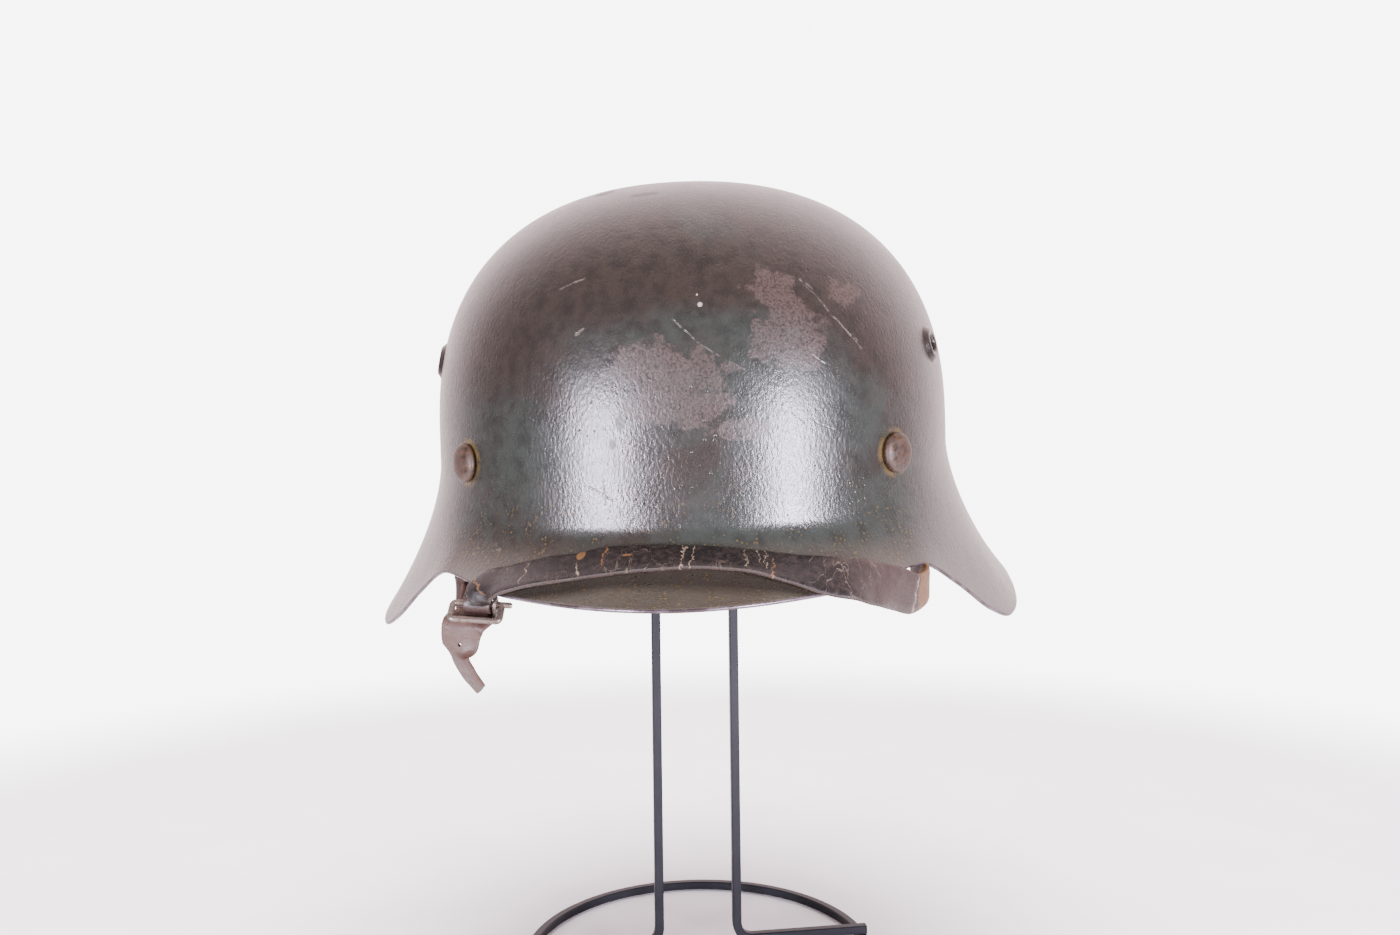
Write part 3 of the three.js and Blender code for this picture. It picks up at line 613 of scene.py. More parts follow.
# scratches: start and end in helmet millimetres, width in millimetres
SCRATCHES = (
    ((40.4, -81.7, 118.2), (50.5, -81.5, 106.5), 0.5),
    ((50.5, -81.5, 106.5), (59.3, -77.5, 96.3), 0.5),
    ((42.5, -81.5, 117), (58, -78, 99), 0.3),
    ((1.8, -95.2, 105.6), (10, -96.7, 97.6), 0.4),
    ((10, -96.7, 97.6), (23.3, -95.7, 90), 0.45),
    ((43.5, -88.1, 93.9), (47.3, -86.5, 91.3), 0.4),
    ((37, -92.4, 76.8), (41.3, -90.6, 72.8), 0.45),
    ((41.8, -90.4, 74.9), (49.6, -86.3, 71.6), 0.45),
    ((-24.9, -96.2, 55.5), (-17.7, -97.7, 51.8), 0.5),
    ((-20, -97, 58), (-20.5, -98, 46), 0.4),
    ((-34.3, -84.9, 117.2), (-26.2, -86.2, 120.1), 0.45),
    ((-28.1, -92.4, 102.3), (-25.6, -92.8, 103.4), 0.8),
    ((-58, -82, 38.5), (-55.6, -86, 36), 1.1),
    ((-38, -60, 140), (-22, -62, 146), 0.25),
    ((2, -75, 134), (26, -66, 139), 0.25),
    ((-14, -90, 115), (-2, -84, 124), 0.22),
)


def spots(tree: bpy.types.NodeTree, place: Any, rows: tuple) -> Any:
    """Mask of all the patches of a table.

    Args:
        tree: Node tree to work in.
        place: Socket with the place in metres.
        rows: Middle and half sizes in helmet millimetres, and softness, of each patch.

    Returns:
        Mask socket.
    """
    return strongest(tree, [spot(tree, place, on_helmet(*middle), size, soft)
                            for middle, size, soft in rows])


@dataclass(frozen=True)
class FieldPaint:
    """Old air-dried field paint sprayed on pressed steel.

    Semi-gloss, grey-green, with brown patina in the upper half, an orange-peel skin, pits,
    rubbed pinkish patches, pale scratches and ochre specks of rust over the visor.
    """

    green: str = "#282b27"
    brown: str = "#26201c"
    dark: str = "#100f0e"
    rubbed: str = "#42332f"
    # painted light: lighter tone laid on the visor top for the light it catches
    visor_light: str = "#40372f"
    ochre: str = "#5f4c2a"
    pale: str = "#8d8278"
    roughness: float = 0.19
    halo_mm: float = 7.9

    @staticmethod
    def worn(tree: bpy.types.NodeTree, place: Any, breakup: Any) -> Any:
        """Mask of the rubbed patches, ragged at the edge and powdery inside.

        Args:
            tree: Node tree to work in.
            place: Socket with the place in metres.
            breakup: Socket of the cloud that breaks up the edges.

        Returns:
            Mask socket.
        """
        right = node(tree, "Math", spots(tree, place, RUBBED_RIGHT), 0.92, operation="MULTIPLY")
        patches = node(tree, "Math", spots(tree, place, RUBBED_LEFT), right, operation="MAXIMUM")
        ragged = node(tree, "Math", breakup, 1.9, operation="MULTIPLY")
        edged = node(tree, "Math", patches, ragged, operation="ADD")
        inside = node(tree, "MapRange", edged, 1.46, 1.66, **SMOOTH)
        # powder of 0.8 mm
        grit = node(tree, "TexNoise", place, 1000 / 0.8, 3, 0.7)
        powder = node(tree, "MapRange", grit, 0.36, 0.58, 0.1, 1.0, **SMOOTH)
        powdered = node(tree, "Math", inside, powder, operation="MULTIPLY")
        near = node(tree, "MapRange", patches, 0.0, 0.25, **SMOOTH)
        return node(tree, "Math", powdered, near, operation="MULTIPLY")

    @staticmethod
    def specks(tree: bpy.types.NodeTree, place: Any, low_front: Any) -> tuple[Any, Any, Any]:
        """Masks of small marks: pits anywhere, flecks and rust low at the front.

        Args:
            tree: Node tree to work in.
            place: Socket with the place in metres.
            low_front: Mask of the height where rust has settled.

        Returns:
            Masks of pits, fine flecks and rust specks.
        """
        grain = node(tree, "TexVoronoi", place, 1000 / 2.4)
        fine = node(tree, "TexVoronoi", place, 1000 / 1.3)
        # size of the dots in their cells, then size and detail of the cloud that groups them
        marks = []
        for cells, dot, cloud, group, zone in (
                (grain, (0.2, 0.08), (22, 2, 0.5), (0.52, 0.62), None),
                (fine, (0.36, 0.16), (5, 4, 0.7), (0.46, 0.6), low_front),
                (grain, (0.26, 0.12), (6, 4, 0.7), (0.58, 0.64), low_front)):
            dots = node(tree, "MapRange", cells, *dot, **SMOOTH)
            if zone is not None:
                dots = node(tree, "Math", dots, zone, operation="MULTIPLY")
            size_mm, detail, rough = cloud
            chance = node(tree, "TexNoise", place, 1000 / size_mm, detail, rough)
            grouped = node(tree, "MapRange", chance, *group, **SMOOTH)
            marks.append(node(tree, "Math", dots, grouped, operation="MULTIPLY"))
        pits, flecks, rust = marks
        return pits, flecks, rust

    def halo(self, tree: bpy.types.NodeTree, place: Any, breakup: Any) -> Any:
        """Mask of the rust that has crept out round each rivet head.

        Args:
            tree: Node tree to work in.
            place: Socket with the place in metres.
            breakup: Socket of the cloud that breaks it up.

        Returns:
            Mask socket.
        """
        rings = []
        for azimuth, _ in Rivets.azimuths:
            stage = BOWL.stage_at(azimuth, Rivets.height)
            middle = Vector(placed(BOWL.point(azimuth, stage)))
            rings.append(spot(tree, place, middle, (self.halo_mm,) * 3, 0.12))
        cloud = node(tree, "MapRange", breakup, 0.36, 0.6, **SMOOTH)
        return node(tree, "Math", strongest(tree, rings), cloud, operation="MULTIPLY")

    @staticmethod
    def scored(tree: bpy.types.NodeTree, place: Any) -> Any:
        """Mask of the scratches, each wavering by up to 0.8 mm and broken every 1.6 mm.

        Args:
            tree: Node tree to work in.
            place: Socket with the place in metres.

        Returns:
            Mask socket.
        """
        waver = node(tree, "TexNoise", place, 1000 / 6.25, 2, out=1)
        shift = node(tree, "VectorMath", waver, Scale=1.6 * MM, operation="SCALE")
        centred = node(tree, "VectorMath", shift, (0.8 * MM,) * 3, operation="SUBTRACT")
        wavering = node(tree, "VectorMath", place, centred, operation="ADD")
        lines = strongest(tree, [scratch(tree, wavering, on_helmet(*start), on_helmet(*end), width)
                                 for start, end, width in SCRATCHES])
        cloud = node(tree, "TexNoise", place, 1000 / 1.6, 2, 0.55)
        broken = node(tree, "MapRange", cloud, 0.3, 0.62, **SMOOTH)
        return node(tree, "Math", lines, broken, operation="MULTIPLY")

    @staticmethod
    def relief(tree: bpy.types.NodeTree, place: Any, hollow: Any) -> Any:
        """Normal of the skin: swells of 20 and 4 mm, peel of 0.95 mm, marks sunk in.

        Args:
            tree: Node tree to work in.
            place: Socket with the place in metres.
            hollow: Mask of the pits and scratches.

        Returns:
            Normal socket.
        """
        swell = node(tree, "TexNoise", place, 1000 / 20, 1, 0.55)
        normal = node(tree, "Bump", 0.16, 0.5 * MM, Height=swell)
        ripple = node(tree, "TexNoise", place, 1000 / 4, 2, 0.55)
        normal = node(tree, "Bump", 0.2, 0.12 * MM, Height=ripple, Normal=normal)
        drawn = node(tree, "Mapping", place, Scale=(1.0, 1.0, 0.6))
        peel = node(tree, "TexNoise", drawn, 1000 / 0.95, 3, 0.6)
        normal = node(tree, "Bump", 0.7, 0.2 * MM, Height=peel, Normal=normal)
        sunk = node(tree, "Math", 1.0, hollow, operation="SUBTRACT")
        return node(tree, "Bump", 0.6, 0.12 * MM, Height=sunk, Normal=normal)

    def material(self) -> bpy.types.Material:
        """Builds the paint.

        Returns:
            The new material.
        """
        material, tree, shader = fresh_material("field_paint_on_steel")
        place = node(tree, "TexCoord", out=3)
        depth, height = (node(tree, "SeparateXYZ", place, out=axis) for axis in (1, 2))
        # brown patina over green paint: clouds of 45 mm, stronger towards the crown
        clouds = node(tree, "TexNoise", place, 1000 / 45, 5, 0.6, Distortion=0.3)
        upper = node(tree, "MapRange", height, 0.18, 0.25, **SMOOTH)
        lifted = node(tree, "Math", upper, 0.26, operation="MULTIPLY")
        gathered = node(tree, "Math", clouds, lifted, operation="ADD")
        patina = node(tree, "MapRange", gathered, 0.5, 0.72, **SMOOTH)
        colour = node(tree, "Mix", patina, linear(self.green), linear(self.brown), **COLOURS)
        # mottling of 5 mm, and the cloud of 8 mm that breaks up the edges of worn places
        spread = node(tree, "TexNoise", place, 1000 / 5, 4, 0.6)
        mottle = node(tree, "MapRange", spread, 0.35, 0.72, **SMOOTH)
        breakup = node(tree, "TexNoise", place, 1000 / 8, 9, 0.7)
        worn = self.worn(tree, place, breakup)
        # painted light: the visor top under the strap is lightened and browned to stand in for the
        # light it catches
        below = node(tree, "MapRange", height, 0.17, 0.16, **SMOOTH)
        front = node(tree, "MapRange", depth, -0.07, -0.1, **SMOOTH)
        visor = node(tree, "Math", below, front, operation="MULTIPLY")
        low_front = node(tree, "MapRange", height, 0.196, 0.168, **SMOOTH)
        pits, flecks, rust = self.specks(tree, place, low_front)
        stain = node(tree, "Math", spots(tree, place, BRUISES), breakup, operation="MULTIPLY")
        bruised = node(tree, "MapRange", stain, 0.12, 0.4, **SMOOTH)
        halo = self.halo(tree, place, breakup)
        scored = self.scored(tree, place)
        faint = node(tree, "Math", scored, 0.22, operation="MULTIPLY")
        bright = node(tree, "Math", faint, spots(tree, place, CHIPS), operation="MAXIMUM")
        # each mark tints the paint below it
        for mask, share, tint in (
                (mottle, 0.5, self.dark), (worn, 0.62, self.rubbed), (visor, 0.55, self.visor_light),
                (pits, 0.6, self.dark), (flecks, 0.5, self.ochre), (rust, 0.7, self.ochre),
                (bruised, 0.75, self.dark), (halo, 0.6, self.ochre), (bright, 1.0, self.pale)):
            part = node(tree, "Math", mask, share, operation="MULTIPLY")
            colour = node(tree, "Mix", part, colour, linear(tint), **COLOURS)
        tree.links.new(colour, shader.inputs["Base Color"])
        # gloss in clouds of 12 mm, broken by the rubbed and bruised places
        haze = node(tree, "TexNoise", place, 1000 / 12, 5, 0.6)
        marred = node(tree, "Math", worn, bruised, operation="MAXIMUM")
        rough = self.roughness
        for cause, share in ((haze, 0.16), (marred, 0.12)):
            duller = node(tree, "Math", cause, share, operation="MULTIPLY")
            rough = node(tree, "Math", duller, rough, operation="ADD")
        tree.links.new(rough, shader.inputs["Roughness"])
        shader.inputs["IOR"].default_value = 1.52
        hollow = strongest(tree, [pits, scored])
        tree.links.new(self.relief(tree, place, hollow), shader.inputs["Normal"])
        return material


@dataclass(frozen=True)
class RubbedRim:
    """Bare steel of the sheared rim, polished by hands: a thin bright line under light."""

    steel: str = "#675c62"
    brown: str = "#43383b"

    def material(self) -> bpy.types.Material:
        """Builds the rim's steel.

        Returns:
            The new material.
        """
        material, tree, shader = fresh_material("rubbed_steel_rim")
        place = node(tree, "TexCoord", out=3)
        # brown film in clouds of 9 mm
        cloud = node(tree, "TexNoise", place, 1000 / 9, 4, 0.6)
        wear = node(tree, "MapRange", cloud, 0.4, 0.62, **SMOOTH)
        colour = node(tree, "Mix", wear, linear(self.steel), linear(self.brown), **COLOURS)
        tree.links.new(colour, shader.inputs["Base Color"])
        shader.inputs["Metallic"].default_value = 0.7
        shader.inputs["Roughness"].default_value = 0.34
        return material


@dataclass(frozen=True)
class RustedSteel:
    """Old forged or drawn steel with brown rust in its hollows and rubbed high spots."""

    name: str
    steel: str
    brown: str
    orange: str
    rust_share: float
    roughness: float
    metallic: float
    blotch_mm: float = 3.0

    def material(self) -> bpy.types.Material:
        """Builds the steel.

        Returns:
            The new material.
        """
        material, tree, shader = fresh_material(self.name)
        place = node(tree, "TexCoord", out=3)
        edge = 0.75 - 0.5 * self.rust_share
        cloud = node(tree, "TexNoise", place, 1000 / self.blotch_mm, 5, 0.65)
        rust = node(tree, "MapRange", cloud, edge - 0.1, edge + 0.1, **SMOOTH)
        # orange bloom in blotches of less than half that size
        specks = node(tree, "TexNoise", place, 1000 / (self.blotch_mm * 0.4), 3, 0.55)
        bloom = node(tree, "MapRange", specks, edge, edge + 0.14, **SMOOTH)
        colour = node(tree, "Mix", rust, linear(self.steel), linear(self.brown), **COLOURS)
        part = node(tree, "Math", bloom, 0.7, operation="MULTIPLY")
        colour = node(tree, "Mix", part, colour, linear(self.orange), **COLOURS)
        tree.links.new(colour, shader.inputs["Base Color"])
        # rust is duller than steel and no metal
        bare = node(tree, "Math", 1.0, rust, operation="SUBTRACT")
        metal = node(tree, "Math", bare, self.metallic, operation="MULTIPLY")
        tree.links.new(metal, shader.inputs["Metallic"])
        duller = node(tree, "Math", rust, 0.22, operation="MULTIPLY")
        rough = node(tree, "Math", duller, self.roughness, operation="ADD")
        tree.links.new(rough, shader.inputs["Roughness"])
        grit = node(tree, "TexNoise", place, 1000 / 0.9, 4, 0.65)
        tree.links.new(node(tree, "Bump", 0.5, 0.12 * MM, Height=grit), shader.inputs["Normal"])
        return material


@dataclass(frozen=True)
class OldLeather:
    """Vegetable-tanned cowhide, blackened, dried out and cracked across.

    The grain side is nearly black and shines softly; cracks and cut edges show the tan core.
    """

    name: str
    dark: str
    red: str
    core: str
    cream: str
    # distances along the strap, in metres, between which the red comes through
    red_from: float
    red_to: float
    half_width: float
    # place along, width, from and to across the strap, in millimetres, and what shows
    cracks: tuple
    # place along and across, half length and half width of each flake, in millimetres
    worn: tuple
    roughness: float = 0.4

    @staticmethod
    def creases(tree: bpy.types.NodeTree, uv: Any, place: Any) -> Any:
        """Mask of fine creases: edges of cells, 210 to the metre and stretched over the width.

        Args:
            tree: Node tree to work in.
            uv: Socket with the place along and across the strap.
            place: Socket with the place in metres.

        Returns:
            Mask socket.
        """
        squeezed = node(tree, "Mapping", uv, Scale=(1.0, 0.42, 1.0))
        wander = node(tree, "TexNoise", squeezed, 220, 3, out=1)
        bent = node(tree, "Mix", 0.006, squeezed, wander, data_type="VECTOR")
        cells = node(tree, "TexVoronoi", bent, 210, feature="DISTANCE_TO_EDGE")
        folds = node(tree, "MapRange", cells, 0.03, 0.0, **SMOOTH)
        cloud = node(tree, "TexNoise", place, 1000 / 18, 3, 0.55)
        grouped = node(tree, "MapRange", cloud, 0.42, 0.62, **SMOOTH)
        return node(tree, "Math", folds, grouped, operation="MULTIPLY")

    def crossed(self, tree: bpy.types.NodeTree, along: Any, across: Any,
                place: Any) -> dict[str, Any]:
        """Masks of the cracks across the strap, each wavering, by the colour they show.

        Args:
            tree: Node tree to work in.
            along: Socket with the distance along the strap.
            across: Socket with the place across it.
            place: Socket with the place in metres.

        Returns:
            Masks of the cream and of the core-coloured cracks.
        """
        cloud = node(tree, "TexNoise", place, 1000 / 3.2, 3, 0.6)
        centred = node(tree, "Math", cloud, 0.5, operation="SUBTRACT")
        waver = node(tree, "Math", centred, 5 * MM, operation="MULTIPLY")
        shifted = node(tree, "Math", along, waver, operation="ADD")
        lines: dict[str, list] = {"cream": [], "core": []}
        for at_mm, width_mm, from_mm, to_mm, tint in self.cracks:
            beside = node(tree, "Math", shifted, at_mm * MM, operation="SUBTRACT")
            gap = node(tree, "Math", beside, operation="ABSOLUTE")
            line = node(tree, "MapRange", gap, width_mm * MM, width_mm * 0.35 * MM, **SMOOTH)
            # a crack that stops short fades over 2 mm
            for end_mm, inward in ((from_mm, 1), (to_mm, -1)):
                if abs(end_mm) < self.half_width:
                    fade = node(tree, "MapRange", across, (end_mm - inward) * MM,
                                (end_mm + inward) * MM, **SMOOTH)
                    line = node(tree, "Math", line, fade, operation="MULTIPLY")
            lines[tint].append(line)
        cloud = node(tree, "TexNoise", place, 1000 / 1.4, 2, 0.55)
        broken = node(tree, "MapRange", cloud, 0.3, 0.5, **SMOOTH)
        return {tint: node(tree, "Math", strongest(tree, found), broken, operation="MULTIPLY")
                for tint, found in lines.items()}

    def flaked(self, tree: bpy.types.NodeTree, along: Any, across: Any, place: Any) -> Any:
        """Mask of the patches where the grain has flaked off.

        Args:
            tree: Node tree to work in.
            along: Socket with the distance along the strap.
            across: Socket with the place across it.
            place: Socket with the place in metres.

        Returns:
            Mask socket.
        """
        flat = node(tree, "CombineXYZ", along, across)
        flakes = strongest(tree, [
            spot(tree, flat, Vector((at_mm * MM, off_mm * MM, 0)), (long_mm, wide_mm, 1), 0.2)
            for at_mm, off_mm, long_mm, wide_mm in self.worn])
        cloud = node(tree, "TexNoise", place, 1000 / 1.8, 3, 0.55)
        ragged = node(tree, "Math", cloud, 0.6, operation="MULTIPLY")
        edged = node(tree, "Math", flakes, ragged, operation="ADD")
        return node(tree, "MapRange", edged, 0.9, 1.1, **SMOOTH)

    def material(self) -> bpy.types.Material:
        """Builds the leather.

        Returns:
            The new material.
        """
        material, tree, shader = fresh_material(self.name)
        uv, place = (node(tree, "TexCoord", out=source) for source in (2, 3))
        along, across = (node(tree, "SeparateXYZ", uv, out=axis) for axis in (0, 1))
        # dark dye, rubbed back to reddish brown along one stretch
        cloud = node(tree, "TexNoise", place, 1000 / 14, 5, 0.6)
        shift = node(tree, "Math", cloud, 0.03, operation="MULTIPLY")
        cloudy = node(tree, "Math", along, shift, operation="ADD")
        stretch = node(tree, "MapRange", cloudy, self.red_from, self.red_to, **SMOOTH)
        colour = node(tree, "Mix", stretch, linear(self.dark), linear(self.red), **COLOURS)
        scuff = node(tree, "TexNoise", place, 1000 / 2.2, 5, 0.7)
        fine = node(tree, "MapRange", scuff, 0.4, 0.7, **SMOOTH)
        creases = self.creases(tree, uv, place)
        cracks = self.crossed(tree, along, across, place)
        flaked = self.flaked(tree, along, across, place)
        # cut edges show the core, darkened by dirt
        side = node(tree, "Math", across, operation="ABSOLUTE")
        uneven = node(tree, "Math", cloud, 0.6 * MM, operation="MULTIPLY")
        rim = node(tree, "Math", side, uneven, operation="ADD")
        edge = node(tree, "MapRange", rim, (self.half_width - 0.15) * MM,
                    (self.half_width + 0.3) * MM, **SMOOTH)
        for mask, share, tint in (
                (fine, 0.45, self.red), (creases, 0.22, self.cream), (cracks["core"], 1.0, self.core),
                (cracks["cream"], 0.75, self.cream), (flaked, 1.0, self.core),
                (edge, 0.14, self.core)):
            part = node(tree, "Math", mask, share, operation="MULTIPLY")
            colour = node(tree, "Mix", part, colour, linear(tint), **COLOURS)
        tree.links.new(colour, shader.inputs["Base Color"])
        rough = self.roughness
        for cause, share in ((fine, 0.2), (edge, 0.25)):
            duller = node(tree, "Math", cause, share, operation="MULTIPLY")
            rough = node(tree, "Math", duller, rough, operation="ADD")
        tree.links.new(rough, shader.inputs["Roughness"])
        # marks sunk in, pebbling of 3.5 mm and grain with 1300 pores to the metre
        hollow = strongest(tree, [creases, cracks["core"], cracks["cream"], flaked])
        sunk = node(tree, "Math", 1.0, hollow, operation="SUBTRACT")
        relief = node(tree, "Bump", 0.7, 0.25 * MM, Height=sunk)
        pebbles = node(tree, "TexNoise", place, 1000 / 3.5, 4, 0.6)
        relief = node(tree, "Bump", 0.5, 0.35 * MM, Height=pebbles, Normal=relief)
        grain = node(tree, "TexVoronoi", place, 1300)
        relief = node(tree, "Bump", 0.4, 0.06 * MM, Height=grain, Normal=relief)
        tree.links.new(relief, shader.inputs["Normal"])
        return material


@dataclass(frozen=True)
class SatinEnamel:
    """Dark grey stoving enamel on drawn steel rod: satin, nearly even, a little dust."""

    grey: str = "#101116"
    dust: str = "#1a1a1f"

    def material(self) -> bpy.types.Material:
        """Builds the enamel.

        Returns:
            The new material.
        """
        material, tree, shader = fresh_material("satin_enamel_on_rod")
        place = node(tree, "TexCoord", out=3)
        # dust in clouds of 18 mm
        cloud = node(tree, "TexNoise", place, 1000 / 18, 4, 0.6)
        film = node(tree, "MapRange", cloud, 0.4, 0.7, **SMOOTH)
        part = node(tree, "Math", film, 0.5, operation="MULTIPLY")
        colour = node(tree, "Mix", part, linear(self.grey), linear(self.dust), **COLOURS)
        tree.links.new(colour, shader.inputs["Base Color"])
        shader.inputs["Roughness"].default_value = 0.5
        shader.inputs["Specular IOR Level"].default_value = 0.2
        drawn = node(tree, "TexNoise", place, 1000 / 0.8, 3, 0.6)
        tree.links.new(node(tree, "Bump", 0.35, 0.05 * MM, Height=drawn), shader.inputs["Normal"])
        return material


@dataclass
class HelmetShell:
    """The steel bowl with its rolled flare and two pressed vent rings."""

    columns: int = 288
    rows: int = 112
    dome_share: float = 0.5
    wall_share: float = 0.08
    edge_round: float = 0.45
    vent_azimuths: tuple = (64.5, -71.0)
    vent_height: float = 99.5
    vent_ring: float = 12.4
    vent_hole: float = 5.6
    vent_raise: float = 1.5
    cutter: float = 14.0

    def stages(self, share: np.ndarray) -> np.ndarray:
        """Spreads the mesh rows over dome, wall and flare.

        Args:
            share: Place from the pole, nought, to the rim, one.

        Returns:
            Stage of the bowl.
        """
        bend = self.dome_share + self.wall_share
        return np.interp(share, [0, self.dome_share, bend, 1], [0, 1, 2, 3])

    def skin(self) -> bpy.types.Object:
        """Shapes a sphere, open below, into the bowl's outer face.

        Returns:
            The new object.
        """
        deselect()
        bpy.ops.mesh.primitive_uv_sphere_add(segments=self.columns, ring_count=self.rows + 1)
        bowl = bpy.context.object
        bpy.ops.object.mode_set(mode="EDIT")
        bpy.ops.mesh.select_all(action="DESELECT")
        bpy.ops.object.mode_set(mode="OBJECT")
        low = np.argmin(get_points(bowl)[:, 2])
        bowl.data.vertices[int(low)].select = True
        bpy.ops.object.mode_set(mode="EDIT")
        bpy.ops.mesh.delete(type="VERT")
        bpy.ops.object.mode_set(mode="OBJECT")
        points = get_points(bowl)
        share = np.arccos(np.clip(points[:, 2], -1, 1)) / (math.pi * self.rows / (self.rows + 1))
        azimuth = np.degrees(np.arctan2(points[:, 0], -points[:, 1]))
        set_points(bowl, placed(BOWL.point(azimuth, self.stages(share))))
        return bowl

    def drilled(self, bowl: bpy.types.Object) -> None:
        """Cuts the two vent holes.

        Args:
            bowl: Mesh object of the shell.
        """
        for azimuth in self.vent_azimuths:
            stage = BOWL.stage_at(azimuth, self.vent_height)
            centre, axis = BOWL.point(azimuth, stage), BOWL.normal(azimuth, stage)
            bored(bowl, centre, axis, self.vent_hole, self.cutter, 48)

    def ring(self, azimuth: float) -> bpy.types.Object:
        """Presses one vent's raised lip, its foot running out into the bowl.

        Args:
            azimuth: Angle of the vent from the front, degrees.

        Returns:
            The new object.
        """
        stage = BOWL.stage_at(azimuth, self.vent_height)
        centre = BOWL.point(azimuth, stage)
        normal = BOWL.normal(azimuth, stage)
        side = unit(np.cross([0, 0, 1.0], normal))
        outer, hole, top = self.vent_ring / 2, self.vent_hole / 2, self.vent_raise
        crest = (outer + hole) / 2
        # radius and height of the lip's section, round from the foot
        section = ((outer + 1.2, -0.75), (outer + 0.3, -0.05), (outer - 0.4, 0.35 * top),
                   (outer - 1.0, 0.78 * top), (crest, top), (hole + 0.5, 0.86 * top),
                   (hole, 0.5 * top), (hole, -0.6), (hole, -1.8), (crest, -1.9))
        lip = looped(placed(turned(centre, normal, side, section, 64)))
        outward(lip)
        rounding = lip.modifiers.new("rounding", "SUBSURF")
        rounding.levels = rounding.render_levels = 1
        apply_all(lip)
        return lip

    def build(self) -> None:
        """Makes the shell and dresses it."""
        bowl = self.skin()
        rim = RubbedRim().material()
        bowl.data.materials.append(FieldPaint().material())
        bowl.data.materials.append(rim)
        wall = bowl.modifiers.new("steel", "SOLIDIFY")
        wall.thickness = BOWL.steel * MM
        wall.offset = -1.0
        wall.material_offset_rim = 1
        edge = bowl.modifiers.new("rim", "BEVEL")
        edge.width = self.edge_round * MM
        edge.segments = 2
        edge.limit_method = "ANGLE"
        edge.angle_limit = math.radians(60)
        edge.material = 1
        apply_all(bowl)
        self.drilled(bowl)
        vents = [self.ring(azimuth) for azimuth in self.vent_azimuths]
        for vent in vents:
            vent.data.materials.append(bowl.data.materials[0])
        bowl = fused([bowl, *vents])
        smooth(bowl, 50)
        dress(bowl, "steel_shell", bowl.data.materials[0], "shell_paint", "helmet_shell")


@dataclass
class Rivets:
    """Domed steel rivets that hold the inner band."""

    azimuths: tuple = ((44.8, "front_right"), (-44.8, "front_left"), (180.0, "rear"))
    height: float = 63.2
    head: float = 13.0
    dome: float = 2.8
    edge: float = 0.84
    shank: float = 4.0
    clinch: float = 9.0
    seat: float = 0.75
    inside: float = -4.3

    def build(self) -> None:
        """Makes the three rivets."""
        steel = RustedSteel(name="rusted_rivet_steel", steel="#3b2f28", brown="#251a14",
                            orange="#432b18", rust_share=0.62, roughness=0.34, metallic=0.65)
        material = steel.material()
        radii, heights = self.profile()
        angle = np.linspace(0, 2 * math.pi, 48, endpoint=False)
        for azimuth, place in self.azimuths:
            stage = BOWL.stage_at(azimuth, self.height)
            centre = BOWL.point(azimuth, stage)
            out = unit(BOWL.normal(azimuth, stage) * np.array([1, 1, 0]))
            side = unit(np.cross([0, 0, 1.0], out))
            up = np.cross(out, side)
            circle = side[None] * np.cos(angle)[:, None] + up[None] * np.sin(angle)[:, None]
            rings = centre + circle[None] * radii[:, None, None] + out * heights[:, None, None]
            start = centre + out * heights[0]
            end = centre + out * heights[-1]
            rivet = lofted(placed(rings), placed(start), placed(end))
            outward(rivet)
            smooth(rivet, 50)
            dress(rivet, "rivet_head_" + place, material, "rivet_steel", "rivet_" + place)

    def profile(self) -> tuple[np.ndarray, np.ndarray]:
        """Radii and heights of the rivet's rings, from its clinched end to its crown.

        Returns:
            Radii and heights.
        """
        head, shank, clinch = self.head / 2, self.shank / 2, self.clinch / 2
        seat, inside = self.seat, self.inside
        radii = [clinch * 0.9, clinch, clinch * 0.9, shank, shank, head * 0.96, head]
        heights = [inside, inside + 0.4, inside + 0.8, inside + 0.8, seat, seat, seat + 0.35]
        for angle in np.linspace(0, math.pi / 2, 12)[:-1]:
            radii.append(head * math.cos(angle) ** 0.9)
            heights.append(seat + self.edge + (self.dome - self.edge) * math.sin(angle))
        return np.array(radii), np.array(heights)


class Side(Enum):
    """Side of the helmet, as the viewer who faces the visor sees it."""

    RIGHT = 1
    LEFT = -1


@dataclass(frozen=True)
class Station:
    """One place along a strap: centre, direction of the width, width, thickness and fold."""

    centre: np.ndarray
    across: np.ndarray
    width: float
    thickness: float
    fold: float = 0.0


@dataclass(frozen=True)
class Bail:
    """Wire triangle inside the shell that a strap is sewn round."""

    side: Side
    azimuth: float = 57.0
    drop: float = 26.0
    pull_angle: float = 37.0
    wire: float = 2.6
    band_gap: float = 0.5
    band_thickness: float = 0.8
    solder_sink: float = 0.4

    def radius(self) -> float:
        """Radius of the bail's outer bar."""
        band = float(BOWL.waist(np.array(self.azimuth))) - BOWL.steel - self.band_gap
        return band - self.band_thickness - self.wire / 2 + self.solder_sink

    def axes(self) -> dict[str, np.ndarray]:
        """Works out where the outer bar is and how it lies.

        Returns:
            The bar's centre, and the directions out, along the pull and along the bar.
        """
        sign = self.side.value
        centre = BOWL.polar(sign * self.azimuth, self.radius(), Rivets.height - self.drop)
        out = BOWL.polar(sign * self.azimuth, 1, 0)
        up = np.array([0, 0, 1.0])
        rearward = np.cross(up, out) * sign
        a = math.radians(self.pull_angle)
        return {"centre": centre, "out": out,
                "pull": -rearward * math.cos(a) - up * math.sin(a),
                "along": rearward * math.sin(a) - up * math.cos(a)}


